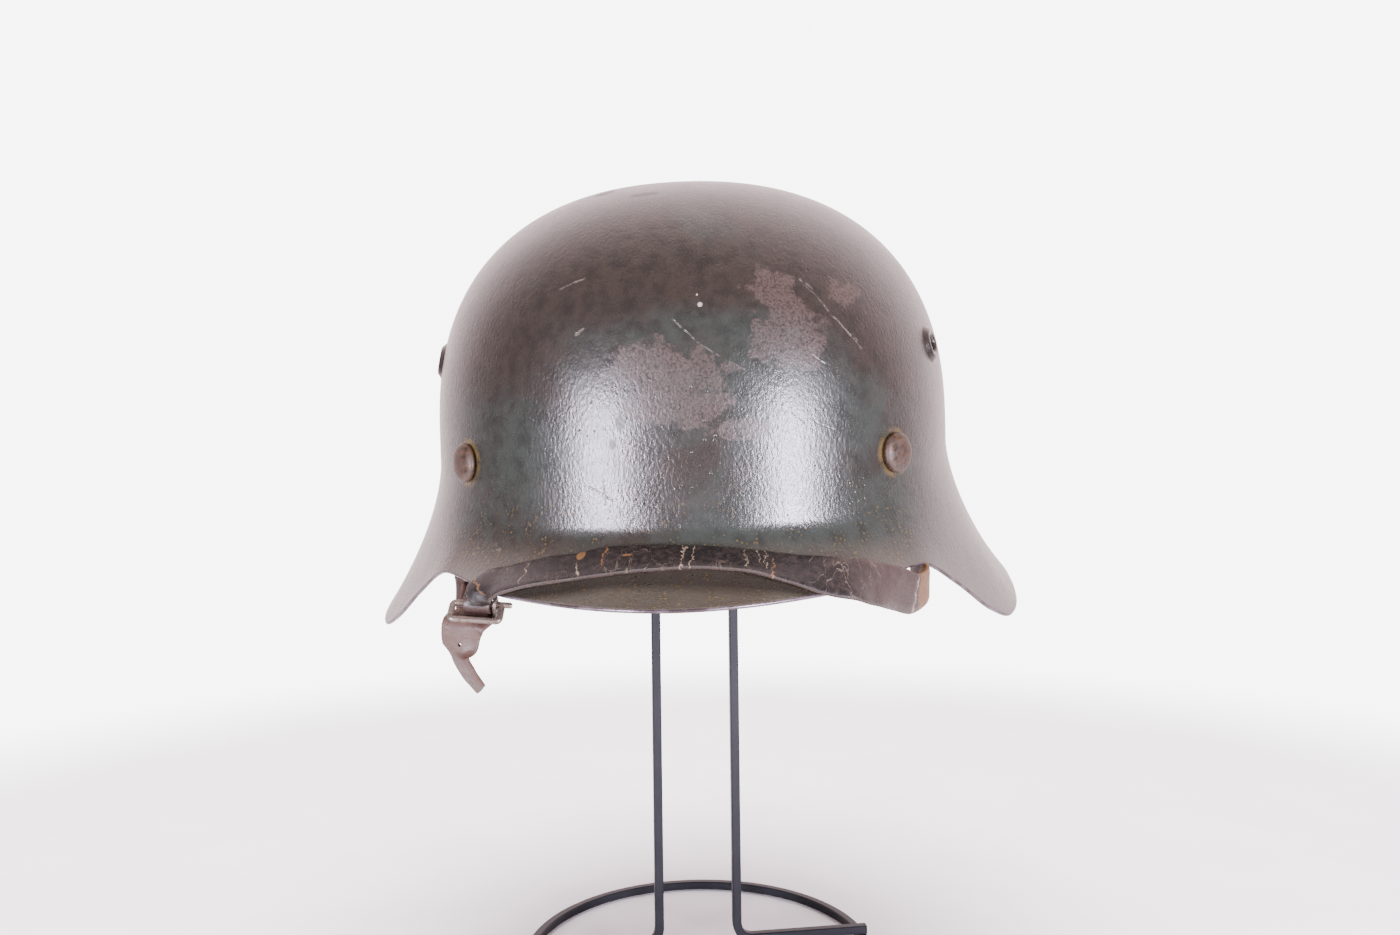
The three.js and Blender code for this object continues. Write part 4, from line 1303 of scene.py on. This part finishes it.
@dataclass(frozen=True)
class BuckleSeat:
    """Where the buckle hangs, and its sizes: origin at the middle of its top bar, X along it."""

    azimuth: float = -31.7
    out: float = 1.35
    under: float = 4.6
    wire: float = 2.0
    depth: float = 6.0
    prong_wire: float = 1.3
    prong_shift: float = 5.4

    def origin(self) -> np.ndarray:
        """Finds the middle of the top bar.

        Returns:
            Place in helmet millimetres.
        """
        a = np.array(self.azimuth)
        radius = float(BOWL.waist(a) + BOWL.rim_flare(a)) + self.out
        return BOWL.polar(self.azimuth, radius, float(BOWL.rim_height(a)) - self.under)

    def axes(self) -> np.ndarray:
        """Works out how the buckle hangs.

        Returns:
            Rows: along the bar, up the frame, out of its upper face.
        """
        x = unit(np.array([0.99, 0.08, -0.09]))
        y = np.array([0.22, 0.7, 0.68])
        y = unit(y - x * np.dot(y, x))
        return np.array([x, y, np.cross(x, y)])

    def place(self, points: np.ndarray) -> np.ndarray:
        """Turns buckle millimetres into helmet millimetres."""
        return np.asarray(points, float) @ self.axes() + self.origin()


SEAT = BuckleSeat()


@dataclass
class Strap:
    """Base of both leather straps: a ribbon through stations."""

    width: float = 13.5
    thickness: float = 2.1
    clearance: float = 0.35
    eye_wall: float = 1.6
    eye_length: float = 11.0
    eye_lead: float = 5.0
    step: float = 0.9
    around: int = 40

    def eye_stations(self, bail: Bail) -> list[Station]:
        """Starts a strap beside a bail's bar.

        Args:
            bail: Bail that the strap is sewn round.

        Returns:
            The first two stations.
        """
        axes = bail.axes()
        offset = bail.wire / 2 + self.clearance + self.thickness / 2
        start = axes["centre"] + axes["out"] * offset
        led = start + axes["pull"] * self.eye_lead
        return [Station(p, axes["along"], self.width, self.thickness) for p in (start, led)]

    def route_station(self, azimuth: float, out: float | None, over: float | None,
                      down: float | None, lean: float, broad: float, slant: float) -> Station:
        """One station on the visor's flare or beyond the rim.

        Args:
            azimuth: Angle from the front, degrees.
            out: Distance out from the rim, shares of the width.
            over: Height over the rim, shares of the width.
            down: Place of the upper edge down the flare, for a seated row.
            lean: Fall of the width from level, degrees.
            broad: Share of the full width.
            slant: How far the lower edge lies towards the front.

        Returns:
            The station.
        """
        a = math.radians(lean)
        outward_ = BOWL.polar(azimuth, 1, 0)
        up = np.array([0, 0, 1.0])
        across = outward_ * math.cos(a) - up * math.sin(a)
        across = unit(across - np.cross(up, outward_) * slant)
        face = outward_ * math.sin(a) + up * math.cos(a)
        width = self.width * broad
        if down is not None:
            seat = BOWL.point(azimuth, 2 + down) + BOWL.normal(azimuth, 2 + down) * self.clearance
            centre = seat + across * width / 2 + face * self.thickness / 2
            return Station(centre, across, width, self.thickness)
        angle = np.array(azimuth)
        radius = float(BOWL.waist(angle) + BOWL.rim_flare(angle)) + out * self.width
        height = float(BOWL.rim_height(angle)) + over * self.width
        return Station(BOWL.polar(azimuth, radius, height), across, width, self.thickness)

    @staticmethod
    def curve(points: np.ndarray, t: np.ndarray) -> np.ndarray:
        """Centripetal curve through points, evenly parted among their spans.

        Args:
            points: Points to pass.
            t: Place along, nought to the number of spans.

        Returns:
            Places on the curve.
        """
        ends = np.vstack([2 * points[0] - points[1], points, 2 * points[-1] - points[-2]])
        k = np.clip(t.astype(int), 0, len(points) - 2)
        w = (t - k)[:, None]
        p0, p1, p2, p3 = (ends[k + i] for i in range(4))
        d0, d1, d2 = (np.sqrt(np.linalg.norm(b - a, axis=1, keepdims=True)).clip(1e-4)
                      for a, b in ((p0, p1), (p1, p2), (p2, p3)))
        m1 = ((p1 - p0) / d0 - (p2 - p0) / (d0 + d1) + (p2 - p1) / d1) * d1
        m2 = ((p2 - p1) / d1 - (p3 - p1) / (d1 + d2) + (p3 - p2) / d2) * d1
        c2 = -3 * p1 + 3 * p2 - 2 * m1 - m2
        c3 = 2 * p1 - 2 * p2 + m1 + m2
        return p1 + m1 * w + c2 * w ** 2 + c3 * w ** 3

    def ribbon(self, stations: list[Station]) -> bpy.types.Object:
        """Leather through the stations, with rounded cut edges and a map in metres.

        Args:
            stations: Places along the strap.

        Returns:
            The new object.
        """
        centres = np.array([s.centre for s in stations])
        spans = len(stations) - 1
        dense = self.curve(centres, np.linspace(0, spans, 4000))
        travelled = np.concatenate([[0], np.cumsum(np.linalg.norm(np.diff(dense, axis=0), axis=1))])
        length = travelled[-1]
        count = int(length / self.step)
        marks = np.linspace(0, length, count)
        t = np.interp(marks, travelled, np.linspace(0, spans, 4000))
        middle = self.curve(centres, t)
        tangent = unit(np.gradient(middle, axis=0))
        k = np.clip(t.astype(int), 0, spans - 1)
        local = t - k
        ease = (local * local * (3 - 2 * local))[:, None]
        across = np.array([s.across for s in stations])
        across = across[k] * (1 - ease) + across[k + 1] * ease
        across = unit(across - tangent * np.sum(across * tangent, axis=1, keepdims=True))
        normal = unit(np.cross(tangent, across))

        def spread(name: str) -> np.ndarray:
            """Values of one size of the stations along the strap."""
            values = np.array([getattr(s, name) for s in stations], float)
            return values[k] * (1 - local) + values[k + 1] * local

        half, thin, fold = spread("width") / 2, spread("thickness") / 2, spread("fold")
        angle = np.linspace(0, 2 * math.pi, self.around, endpoint=False)
        flat = np.sign(np.cos(angle)) * np.abs(np.cos(angle)) ** 0.42
        thick = np.sign(np.sin(angle)) * np.abs(np.sin(angle)) ** 0.6
        # the hide is never dead straight: slow wander of the edges and a soft cupping
        wander = 0.18 * np.sin(marks * 0.21) + 0.12 * np.sin(marks * 0.57 + 1.3)
        u = half[:, None] * flat[None] * (1 + 0.012 * wander[:, None])
        pucker = fold[:, None] * (1 - np.abs(flat[None]) * 2) * half[:, None] * 0.5
        v = thin[:, None] * thick[None] * (1 + 0.05 * np.sin(marks * 0.4)[:, None]) + pucker
        rings = middle[:, None] + across[:, None] * u[..., None] + normal[:, None] * v[..., None]
        leather = lofted(placed(rings), placed(middle[0]), placed(middle[-1]), marks * MM,
                         flat * self.width / 2 * MM)
        outward(leather)
        return leather

    def eye(self, centre: np.ndarray, axis: np.ndarray, bar: float, length: float,
            wall: float) -> bpy.types.Object:
        """Sewn eye of leather round a bar.

        Args:
            centre: Middle of the eye.
            axis: Direction of the bar.
            bar: Radius of the bar.
            length: Length along the bar.
            wall: Thickness of the leather.

        Returns:
            The new object.
        """
        side = unit(np.cross(axis, [0.3, 0.2, 1.0]))
        inner = bar + self.clearance
        half = length / 2
        section = ((inner, -half), (inner + wall * 0.85, -half), (inner + wall, -half * 0.94),
                   (inner + wall, half * 0.94), (inner + wall * 0.85, half), (inner, half))
        eye = looped(placed(turned(centre, axis, side, section, 40)))
        layer = eye.data.uv_layers[0]
        layer.data.foreach_set("uv", np.zeros(len(eye.data.loops) * 2, dtype=np.float32))
        outward(eye)
        return eye


# azimuth, out, over, down, lean, broad, slant: the strap from the right notch over the visor
VISOR_ROUTE = (
    (48.4, -0.56, -0.08, None, 86, 0.95, 0.0), (46.0, 0.05, -0.45, None, 90, 0.74, 0.05),
    (41.0, 0.2, -0.58, None, 94, 0.94, 0.45), (37, 0.17, -0.34, None, 93, 1.0, 0.2),
    (31, 0.19, 0.02, None, 76, 1.0, 0.0), (26, 0.15, 0.26, None, 52, 1.0, 0.0),
    (18.2, None, None, 0.525, 31, 1.0, 0.0), (11.4, None, None, 0.425, 20, 1.0, 0.0),
    (4.8, None, None, 0.364, 19, 1.0, 0.0), (-2.6, None, None, 0.335, 24, 1.0, 0.0),
    (-10.1, None, None, 0.361, 30, 1.0, 0.0), (-15.1, None, None, 0.458, 28, 1.0, 0.0),
    (-20.9, None, None, 0.543, 30, 1.0, 0.0), (-26.2, None, None, 0.669, 33, 1.0, 0.0),
)
# place from the buckle's bar in shares of the width, direction of the width, broad, fold
GATHER = (
    ((0.23, -0.21, 0.4), (0.3, -0.72, -0.62), 0.95, 0.16),
    ((0.06, -0.23, 0.23), (0.72, -0.42, -0.55), 0.76, 0.34),
)
# tail strap behind the rim
TAIL_ROUTE = ((-48.8, -0.66, 0.1, None, 85, 1.0, 0.0), (-41.4, -0.35, -0.7, None, 70, 1.0, 0.0))
# place from behind the lower bar in shares of the width, turn of the width, broad
TAIL = ((-0.06, -0.02, 0.2, 0, 0.9), (-0.1, 0.02, 0.44, -10, 0.86), (-0.12, 0.06, 0.76, -52, 0.8),
        (0.08, 0.02, 1.12, -50, 0.8), (0.36, -0.04, 1.46, -45, 0.42))


@dataclass
class LongStrap(Strap):
    """Strap from the right bail over the visor to the buckle's top bar."""

    gathered: float = 8.1

    def build(self) -> None:
        """Makes the strap and its two sewn eyes."""
        bail = Bail(Side.RIGHT)
        stations = self.eye_stations(bail) + [self.route_station(*row) for row in VISOR_ROUTE]
        bar = SEAT.origin()
        along_bar = SEAT.axes()[0]
        for shift, across, broad, fold in GATHER:
            stations.append(Station(bar + np.array(shift) * self.width, unit(np.array(across)),
                                    self.width * broad, self.thickness, fold))
        front = np.array([0, -1.0, 0])
        front = unit(front - along_bar * np.dot(front, along_bar))
        wrap = bar + front * (SEAT.wire / 2 + self.clearance + self.eye_wall / 2)
        stations.append(Station(wrap, along_bar, self.gathered, self.eye_wall, 0.1))
        ribbon = self.ribbon(stations)
        axes = bail.axes()
        eyes = [self.eye(axes["centre"], axes["along"], bail.wire / 2, self.eye_length,
                         self.thickness),
                self.eye(bar, along_bar, SEAT.wire / 2, self.gathered, self.eye_wall)]
        strap = fused([ribbon, *eyes])
        smooth(strap, 60)
        leather = OldLeather(
            name="old_black_cowhide", dark="#0f0c0b", red="#30221e", core="#54381f",
            cream="#7d6c5a", red_from=0.098, red_to=0.06, half_width=self.width / 2,
            cracks=((117.5, 0.26, -9, 9, "cream"), (120.3, 0.26, -9, 9, "cream"),
                    (94.5, 0.4, -2, 9, "core"), (98.1, 0.2, -9, 2, "cream"),
                    (102, 0.18, -5, 6, "cream"), (96.3, 0.16, -7, 5, "cream"),
                    (143.8, 0.42, -9, 4, "core"), (151.3, 0.3, 0, 6, "cream"),
                    (169, 0.25, -5, 5, "cream"), (184.5, 0.5, -9, 9, "core"),
                    # the full-width pale line at 40.4 mm is the crest of the fold at the right end:
                    # worn grain and a painted highlight
                    (40.4, 0.45, -9, 9, "cream")),
            worn=((151.3, -4.4, 1.7, 2.7), (136.9, -1.0, 1.6, 0.6), (31.6, 0, 7.6, 12)))
        dress(strap, "chin_strap", leather.material(), "strap_leather", "chin_strap_long")


@dataclass
class TailStrap(Strap):
    """Strap from the left bail behind the buckle, its free end hanging."""

    eyelet: float = 2.4
    spare_hole: float = 1.1

    def build(self) -> None:
        """Makes the tail with its eyelet and spare hole."""
        bail = Bail(Side.LEFT)
        stations = self.eye_stations(bail) + [self.route_station(*row) for row in TAIL_ROUTE]
        along_bar, _, upper = SEAT.axes()
        top = SEAT.wire / 2 + self.eye_wall + 3 * self.clearance + self.thickness / 2
        low = SEAT.wire / 2 + 3 * self.clearance + self.thickness / 2
        w = self.width
        entry = SEAT.place([-0.12 * w, 0.5 * w, -0.22 * w - top])
        twisting = unit(along_bar - np.array([0, 0, 0.7]))
        stations.append(Station(entry, twisting, w, self.thickness))
        stations.append(Station(SEAT.place([0, 0, -top]), along_bar, w, self.thickness))
        under = SEAT.place([-0.26 * w, -SEAT.depth, -low])
        stations.append(Station(under, along_bar, w, self.thickness))
        hanging = []
        for x, y, drop, turn, broad in TAIL:
            spin = np.array(Matrix.Rotation(math.radians(turn), 3, "Z"))
            hanging.append(under + np.array([x, y, -drop]) * w)
            stations.append(Station(hanging[-1], spin @ along_bar, w * broad, self.thickness))
        ribbon = self.ribbon(stations)
        line = -SEAT.wire / 2 - self.clearance - SEAT.prong_wire / 2
        eyelet_at = SEAT.place([SEAT.prong_shift, line, -top])
        bored(ribbon, eyelet_at, upper, self.eyelet, 3 * self.thickness, 24)
        bored(ribbon, hanging[1], np.array([0, 1.0, 0]), self.spare_hole, 4 * self.thickness, 24)
        axes = bail.axes()
        eye = self.eye(axes["centre"], axes["along"], bail.wire / 2, self.eye_length,
                       self.thickness)
        strap = fused([ribbon, eye])
        smooth(strap, 60)
        leather = OldLeather(
            name="old_brown_cowhide", dark="#2c1812", red="#3f2b23", core="#4b3126",
            cream="#6a5650", red_from=0.066, red_to=0.074, half_width=self.width / 2,
            cracks=((20, 0.3, -9, 9, "cream"), (26, 0.3, -9, 9, "core")), worn=((60, 0, 1, 1),),
            roughness=0.5)
        dress(strap, "strap_tail", leather.material(), "tail_leather", "chin_strap_tail")


@dataclass
class Buckle:
    """Small wire buckle: a frame, the end of its bar, and the prong."""

    width: float = 17.0
    overhang: float = 2.0
    corner: float = 1.3
    overlap: float = 1.2

    @staticmethod
    def tube(path: np.ndarray, radius: float, closed: bool) -> bpy.types.Object:
        """Round wire along a path in buckle millimetres.

        Args:
            path: Points of the wire's middle.
            radius: Radius of the wire.
            closed: Whether the wire ends where it starts.

        Returns:
            The new object.
        """
        if closed:
            tangent = unit(np.roll(path, -1, axis=0) - np.roll(path, 1, axis=0))
        else:
            tangent = unit(np.gradient(path, axis=0))
        lead = np.array([0, 0, 1.0]) if np.abs(tangent[:, 2]).max() < 0.9 else np.array([0, 1.0, 0])
        side = unit(np.cross(tangent, lead))
        up = np.cross(side, tangent)
        angle = np.linspace(0, 2 * math.pi, 20, endpoint=False)
        circle = side[:, None] * np.cos(angle)[None, :, None] \
            + up[:, None] * np.sin(angle)[None, :, None]
        if closed:
            wire = looped(placed(SEAT.place(path[:, None] + circle * radius)))
        else:
            shrink = np.ones(len(path))
            shrink[0] = shrink[-1] = 0.7
            rings = path[:, None] + circle * radius * shrink[:, None, None]
            wire = lofted(placed(SEAT.place(rings)), placed(SEAT.place(path[0])),
                          placed(SEAT.place(path[-1])))
        outward(wire)
        return wire

    def outline(self) -> np.ndarray:
        """Rounded rectangle of the frame.

        Returns:
            Places in buckle millimetres, one row each.
        """
        half = self.width / 2 - SEAT.wire / 2
        corners = np.array([[-half, 0], [-half, -SEAT.depth], [half, -SEAT.depth], [half, 0]])
        points = []
        for k in range(4):
            here, before, after = corners[k], corners[k - 1], corners[(k + 1) % 4]
            points.extend(eased(before, here, after, self.corner, 7))
            leave = points[-1]
            following = after + unit(here - after) * self.corner
            points.extend(leave + (following - leave) * t for t in np.linspace(0, 1, 8)[1:-1])
        return np.array([[x, y, 0] for x, y in points])

    def build(self) -> None:
        """Makes the frame and the prong."""
        steel = RustedSteel(name="worn_buckle_steel", steel="#6d625a", brown="#3b2b24",
                            orange="#5c3a22", rust_share=0.4, roughness=0.36, metallic=0.75,
                            blotch_mm=2.2)
        material = steel.material()
        radius = SEAT.wire / 2
        half = self.width / 2 - radius
        ring = self.tube(self.outline(), radius, True)
        end = np.linspace([half - self.overlap, 0, 0], [half + radius + self.overhang, 0, 0], 8)
        stub = self.tube(end, radius * 0.96, False)
        whole = fused([ring, stub])
        smooth(whole, 60)
        dress(whole, "buckle", material, "buckle_steel", "buckle_frame")
        thin = SEAT.prong_wire / 2
        bar = radius + Strap.clearance
        angle = np.linspace(0, 2 * math.pi, 24, endpoint=False)
        loop = np.stack([np.full(24, SEAT.prong_shift), (bar + thin) * np.cos(angle),
                         (bar + thin) * np.sin(angle)], 1)
        eye = self.prong_eye(loop, thin)
        reach = radius + Strap.eye_wall + 4 * Strap.clearance + Strap.thickness
        line = -radius - Strap.clearance - thin
        pin = self.tube(np.linspace([SEAT.prong_shift, line, 0.2], [SEAT.prong_shift, line, -reach],
                                    9), thin, False)
        prong = fused([eye, pin])
        smooth(prong, 60)
        dress(prong, "buckle_pin", material, "buckle_steel", "buckle_prong")

    def prong_eye(self, loop: np.ndarray, radius: float) -> bpy.types.Object:
        """Bends the prong's eye round the top bar.

        Args:
            loop: Points of the wire's middle in buckle millimetres.
            radius: Radius of the wire.

        Returns:
            The new object.
        """
        out = unit(loop * np.array([0, 1, 1]))
        angle = np.linspace(0, 2 * math.pi, 16, endpoint=False)
        axis = np.array([1.0, 0, 0])
        rings = loop[:, None] + out[:, None] * np.cos(angle)[None, :, None] * radius \
            + axis * np.sin(angle)[None, :, None] * radius
        eye = looped(placed(SEAT.place(rings)))
        outward(eye)
        return eye


@dataclass
class DisplayStand:
    """Square rod welded into a floor ring, two feet with uprights and a ring in the crown."""

    rod: float = 3.4
    ring_radius: float = 66.0
    top_radius: float = 34.0
    spacing: float = 30.6
    bend: float = 7.0
    turn: float = 12.0
    sink: float = 0.1
    edge: float = 0.35

    def section(self) -> np.ndarray:
        """Square section with eased corners.

        Returns:
            Its points, counter-clockwise.
        """
        h, e = self.rod / 2, self.edge
        return np.array([[h, -h + e], [h, h - e], [h - e, h], [-h + e, h], [-h, h - e],
                         [-h, -h + e], [-h + e, -h], [h - e, -h]])

    def build(self) -> None:
        """Makes the stand as one welded piece."""
        low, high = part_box("wire_stand")
        middle = (Vector(low) + Vector(high)) / 2
        spin = np.array(Matrix.Rotation(math.radians(self.turn), 3, "Z")) * MM
        origin = np.array([middle.x, middle.y, 0])
        top = high[2] / MM

        def seated(points: np.ndarray) -> np.ndarray:
            """Turns stand millimetres into row metres."""
            return points @ spin.T + origin

        def hoop(radius: float, height: float) -> bpy.types.Object:
            """Makes a ring of square rod.

            Args:
                radius: Radius of the rod's middle.
                height: Height of the rod's middle.

            Returns:
                The new object.
            """
            rings = []
            for a in np.linspace(0, 2 * math.pi, 160, endpoint=False):
                out = np.array([math.cos(a), math.sin(a), 0])
                rings.append([out * (radius + x) + np.array([0, 0, height + y])
                              for x, y in self.section()])
            return looped(seated(np.array(rings)))

        parts = [hoop(self.ring_radius, self.rod / 2), hoop(self.top_radius, top - self.rod / 2)]
        foot = self.rod * 1.5 - self.sink
        arm = top - self.rod * 1.5 + self.sink
        for side in (1, -1):
            near, far = self.ring_radius + self.rod / 2, self.top_radius + self.rod / 2
            corners = [(side * near, foot), (side * self.spacing / 2, foot),
                       (side * self.spacing / 2, arm), (side * far, arm)]
            parts.append(self.bar(corners, seated))
        for part in parts:
            outward(part)
        stand = fused(parts)
        smooth(stand, 30)
        dress(stand, "display_stand", SatinEnamel().material(), "stand_paint", "wire_stand")

    def bar(self, corners: list, seated: Callable) -> bpy.types.Object:
        """Square rod bent through corners in an upright plane.

        Args:
            corners: Sideways place and height of each corner.
            seated: Turns stand millimetres into row metres.

        Returns:
            The new object.
        """
        points = [np.array(corners[0], float)]
        for k in (1, 2):
            before, here, after = (np.array(corners[i], float) for i in (k - 1, k, k + 1))
            points.extend(eased(before, here, after, self.bend, 12))
        points.append(np.array(corners[3], float))
        path = np.array([[x, 0, z] for x, z in points])
        tangent = unit(np.gradient(path, axis=0))
        tangent[0], tangent[-1] = unit(path[1] - path[0]), unit(path[-1] - path[-2])
        sideways = np.array([0, 1.0, 0])
        normal = np.cross(tangent, sideways)
        rings = [[p + sideways * a + n * b for a, b in self.section()]
                 for p, n in zip(path, normal)]
        return lofted(seated(np.array(rings)), seated(path[0]), seated(path[-1]))


@dataclass
class InnerBand:
    """Plain steel band inside the shell, shown as the CAD node itself."""

    node_name: str = "inner_band"

    def build(self) -> None:
        """Gives the band its dull steel."""
        steel = RustedSteel(name="dull_band_steel", steel="#3d3a36", brown="#2e2620",
                            orange="#4a3423", rust_share=0.5, roughness=0.45, metallic=0.6,
                            blotch_mm=6.0)
        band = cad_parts[self.node_name]
        band.data.materials.clear()
        band.data.materials.append(steel.material())
        log.info("%s: %d faces", self.node_name, len(band.data.polygons))


@dataclass(frozen=True)
class Softbox:
    """Tall soft light that shows as a highlight on the shell."""

    name: str
    bearing: float
    height: float
    distance: float
    width: float
    tall: float
    power: float
    tint: str = "#f3edff"

    def build(self, aim: Vector) -> None:
        """Hangs the light and turns it to its aim.

        Args:
            aim: Place that the light points at.
        """
        a = math.radians(self.bearing)
        place = aim + Vector((math.sin(a), -math.cos(a), 0)) * self.distance
        place.z = self.height
        lamp = bpy.data.lights.new(self.name, "AREA")
        lamp.shape = "RECTANGLE"
        lamp.size, lamp.size_y = self.width, self.tall
        lamp.energy = self.power
        lamp.color = linear(self.tint)[:3]
        held = bpy.data.objects.new(self.name, lamp)
        held.location = place
        held.rotation_euler = (aim - place).to_track_quat("-Z", "Y").to_euler()
        held.visible_camera = False
        bpy.context.collection.objects.link(held)


@dataclass
class Studio:
    """Pale floor, pale surround, soft lights and the camera."""

    floor_colour: str = "#f6f5f8"
    floor_cloud: str = "#e6e4e8"
    floor_radius: float = 0.75
    surround: str = "#f4f3f4"
    surround_glow: float = 8.0
    reflected: str = "#ffe5e8"
    overhead_power: float = 105.0
    lens: float = 28.0
    camera_at: tuple = (0.03374, -0.4255, 0.19034)
    yaw: float = 0.07242
    roll: float = -0.01223

    def camera(self) -> None:
        """Sets up the camera at the photograph's place."""
        low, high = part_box("wire_stand")
        middle = (Vector(low) + Vector(high)) / 2
        lens = bpy.data.cameras.new("camera")
        lens.lens = self.lens
        lens.sensor_width = 36.0
        lens.clip_start = 0.01
        eye = bpy.data.objects.new("camera", lens)
        x, y, z = self.camera_at
        eye.location = (middle.x + x, middle.y + y, z)
        turn = Matrix.Rotation(self.yaw, 4, "Z") @ Matrix.Rotation(math.pi / 2, 4, "X") \
            @ Matrix.Rotation(self.roll, 4, "Z")
        eye.rotation_euler = turn.to_euler()
        bpy.context.collection.objects.link(eye)
        bpy.context.scene.camera = eye

    def floor(self) -> None:
        """Lays a round pale floor that fades out at its edge."""
        deselect()
        bpy.ops.mesh.primitive_circle_add(vertices=128, radius=self.floor_radius, fill_type="NGON")
        floor = bpy.context.object
        floor.name = "floor"
        # smooth board in matt white paint, with faint clouds of 60 mm
        material, tree, shader = fresh_material("painted_board_floor")
        place = node(tree, "TexCoord", out=3)
        cloud = node(tree, "TexNoise", place, 1000 / 60, 3, 0.55)
        clouded = node(tree, "MapRange", cloud, 0.3, 0.7, **SMOOTH)
        part = node(tree, "Math", clouded, 0.35, operation="MULTIPLY")
        colour = node(tree, "Mix", part, linear(self.floor_colour), linear(self.floor_cloud),
                      **COLOURS)
        tree.links.new(colour, shader.inputs["Base Color"])
        shader.inputs["Roughness"].default_value = 0.6
        away = node(tree, "VectorMath", place, operation="LENGTH")
        faded = node(tree, "MapRange", away, 0.68, 0.42, **SMOOTH)
        tree.links.new(faded, shader.inputs["Alpha"])
        floor.data.materials.append(material)

    def sky(self) -> None:
        """Pale surround behind the object; dark towards the viewer, as an unlit room is."""
        world = bpy.data.worlds.new("studio")
        bpy.context.scene.world = world
        world.use_nodes = True
        tree = world.node_tree
        tree.nodes.clear()
        place = node(tree, "TexCoord")
        rear = node(tree, "VectorMath", place, (0.07, 0.93, 0.35), operation="DOT_PRODUCT")
        behind = node(tree, "MapRange", rear, -0.1, 0.9, 0.2, 3.5, **SMOOTH)
        lit = node(tree, "VectorMath", linear(self.reflected)[:3], Scale=behind, operation="SCALE")
        seen = node(tree, "LightPath")
        bright = tuple(self.surround_glow * c for c in linear(self.surround))
        colour = node(tree, "Mix", seen, lit, bright, **COLOURS)
        node(tree, "OutputWorld", node(tree, "Background", colour, 1.0))

    def overhead(self) -> None:
        """Hangs a wide bank of light over the floor, too soft to show in the gloss."""
        lamp = bpy.data.lights.new("overhead", "AREA")
        lamp.size = 1.8
        lamp.energy = self.overhead_power
        held = bpy.data.objects.new("overhead", lamp)
        held.location = (0.0, 0.1, 1.6)
        held.visible_camera = False
        held.visible_glossy = False
        bpy.context.collection.objects.link(held)

    def build(self) -> None:
        """Sets up camera, floor, surround and lights."""
        self.camera()
        self.floor()
        self.sky()
        aim = Vector((0.0, -0.02, 0.2))
        for box in (Softbox("softbox_left", -30.5, 0.08, 1.4, 0.16, 0.44, 54.0),
                    Softbox("softbox_right", 41.5, 0.08, 1.4, 0.17, 0.44, 66.0)):
            box.build(aim)
        self.overhead()
        log.info("studio ready")


def main() -> None:
    """Builds the helmet, its straps, its stand and the studio."""
    Studio().build()
    HelmetShell().build()
    Rivets().build()
    LongStrap().build()
    TailStrap().build()
    Buckle().build()
    DisplayStand().build()
    InnerBand().build()
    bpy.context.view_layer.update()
    deselect()


if __name__ == "__main__":
    main()
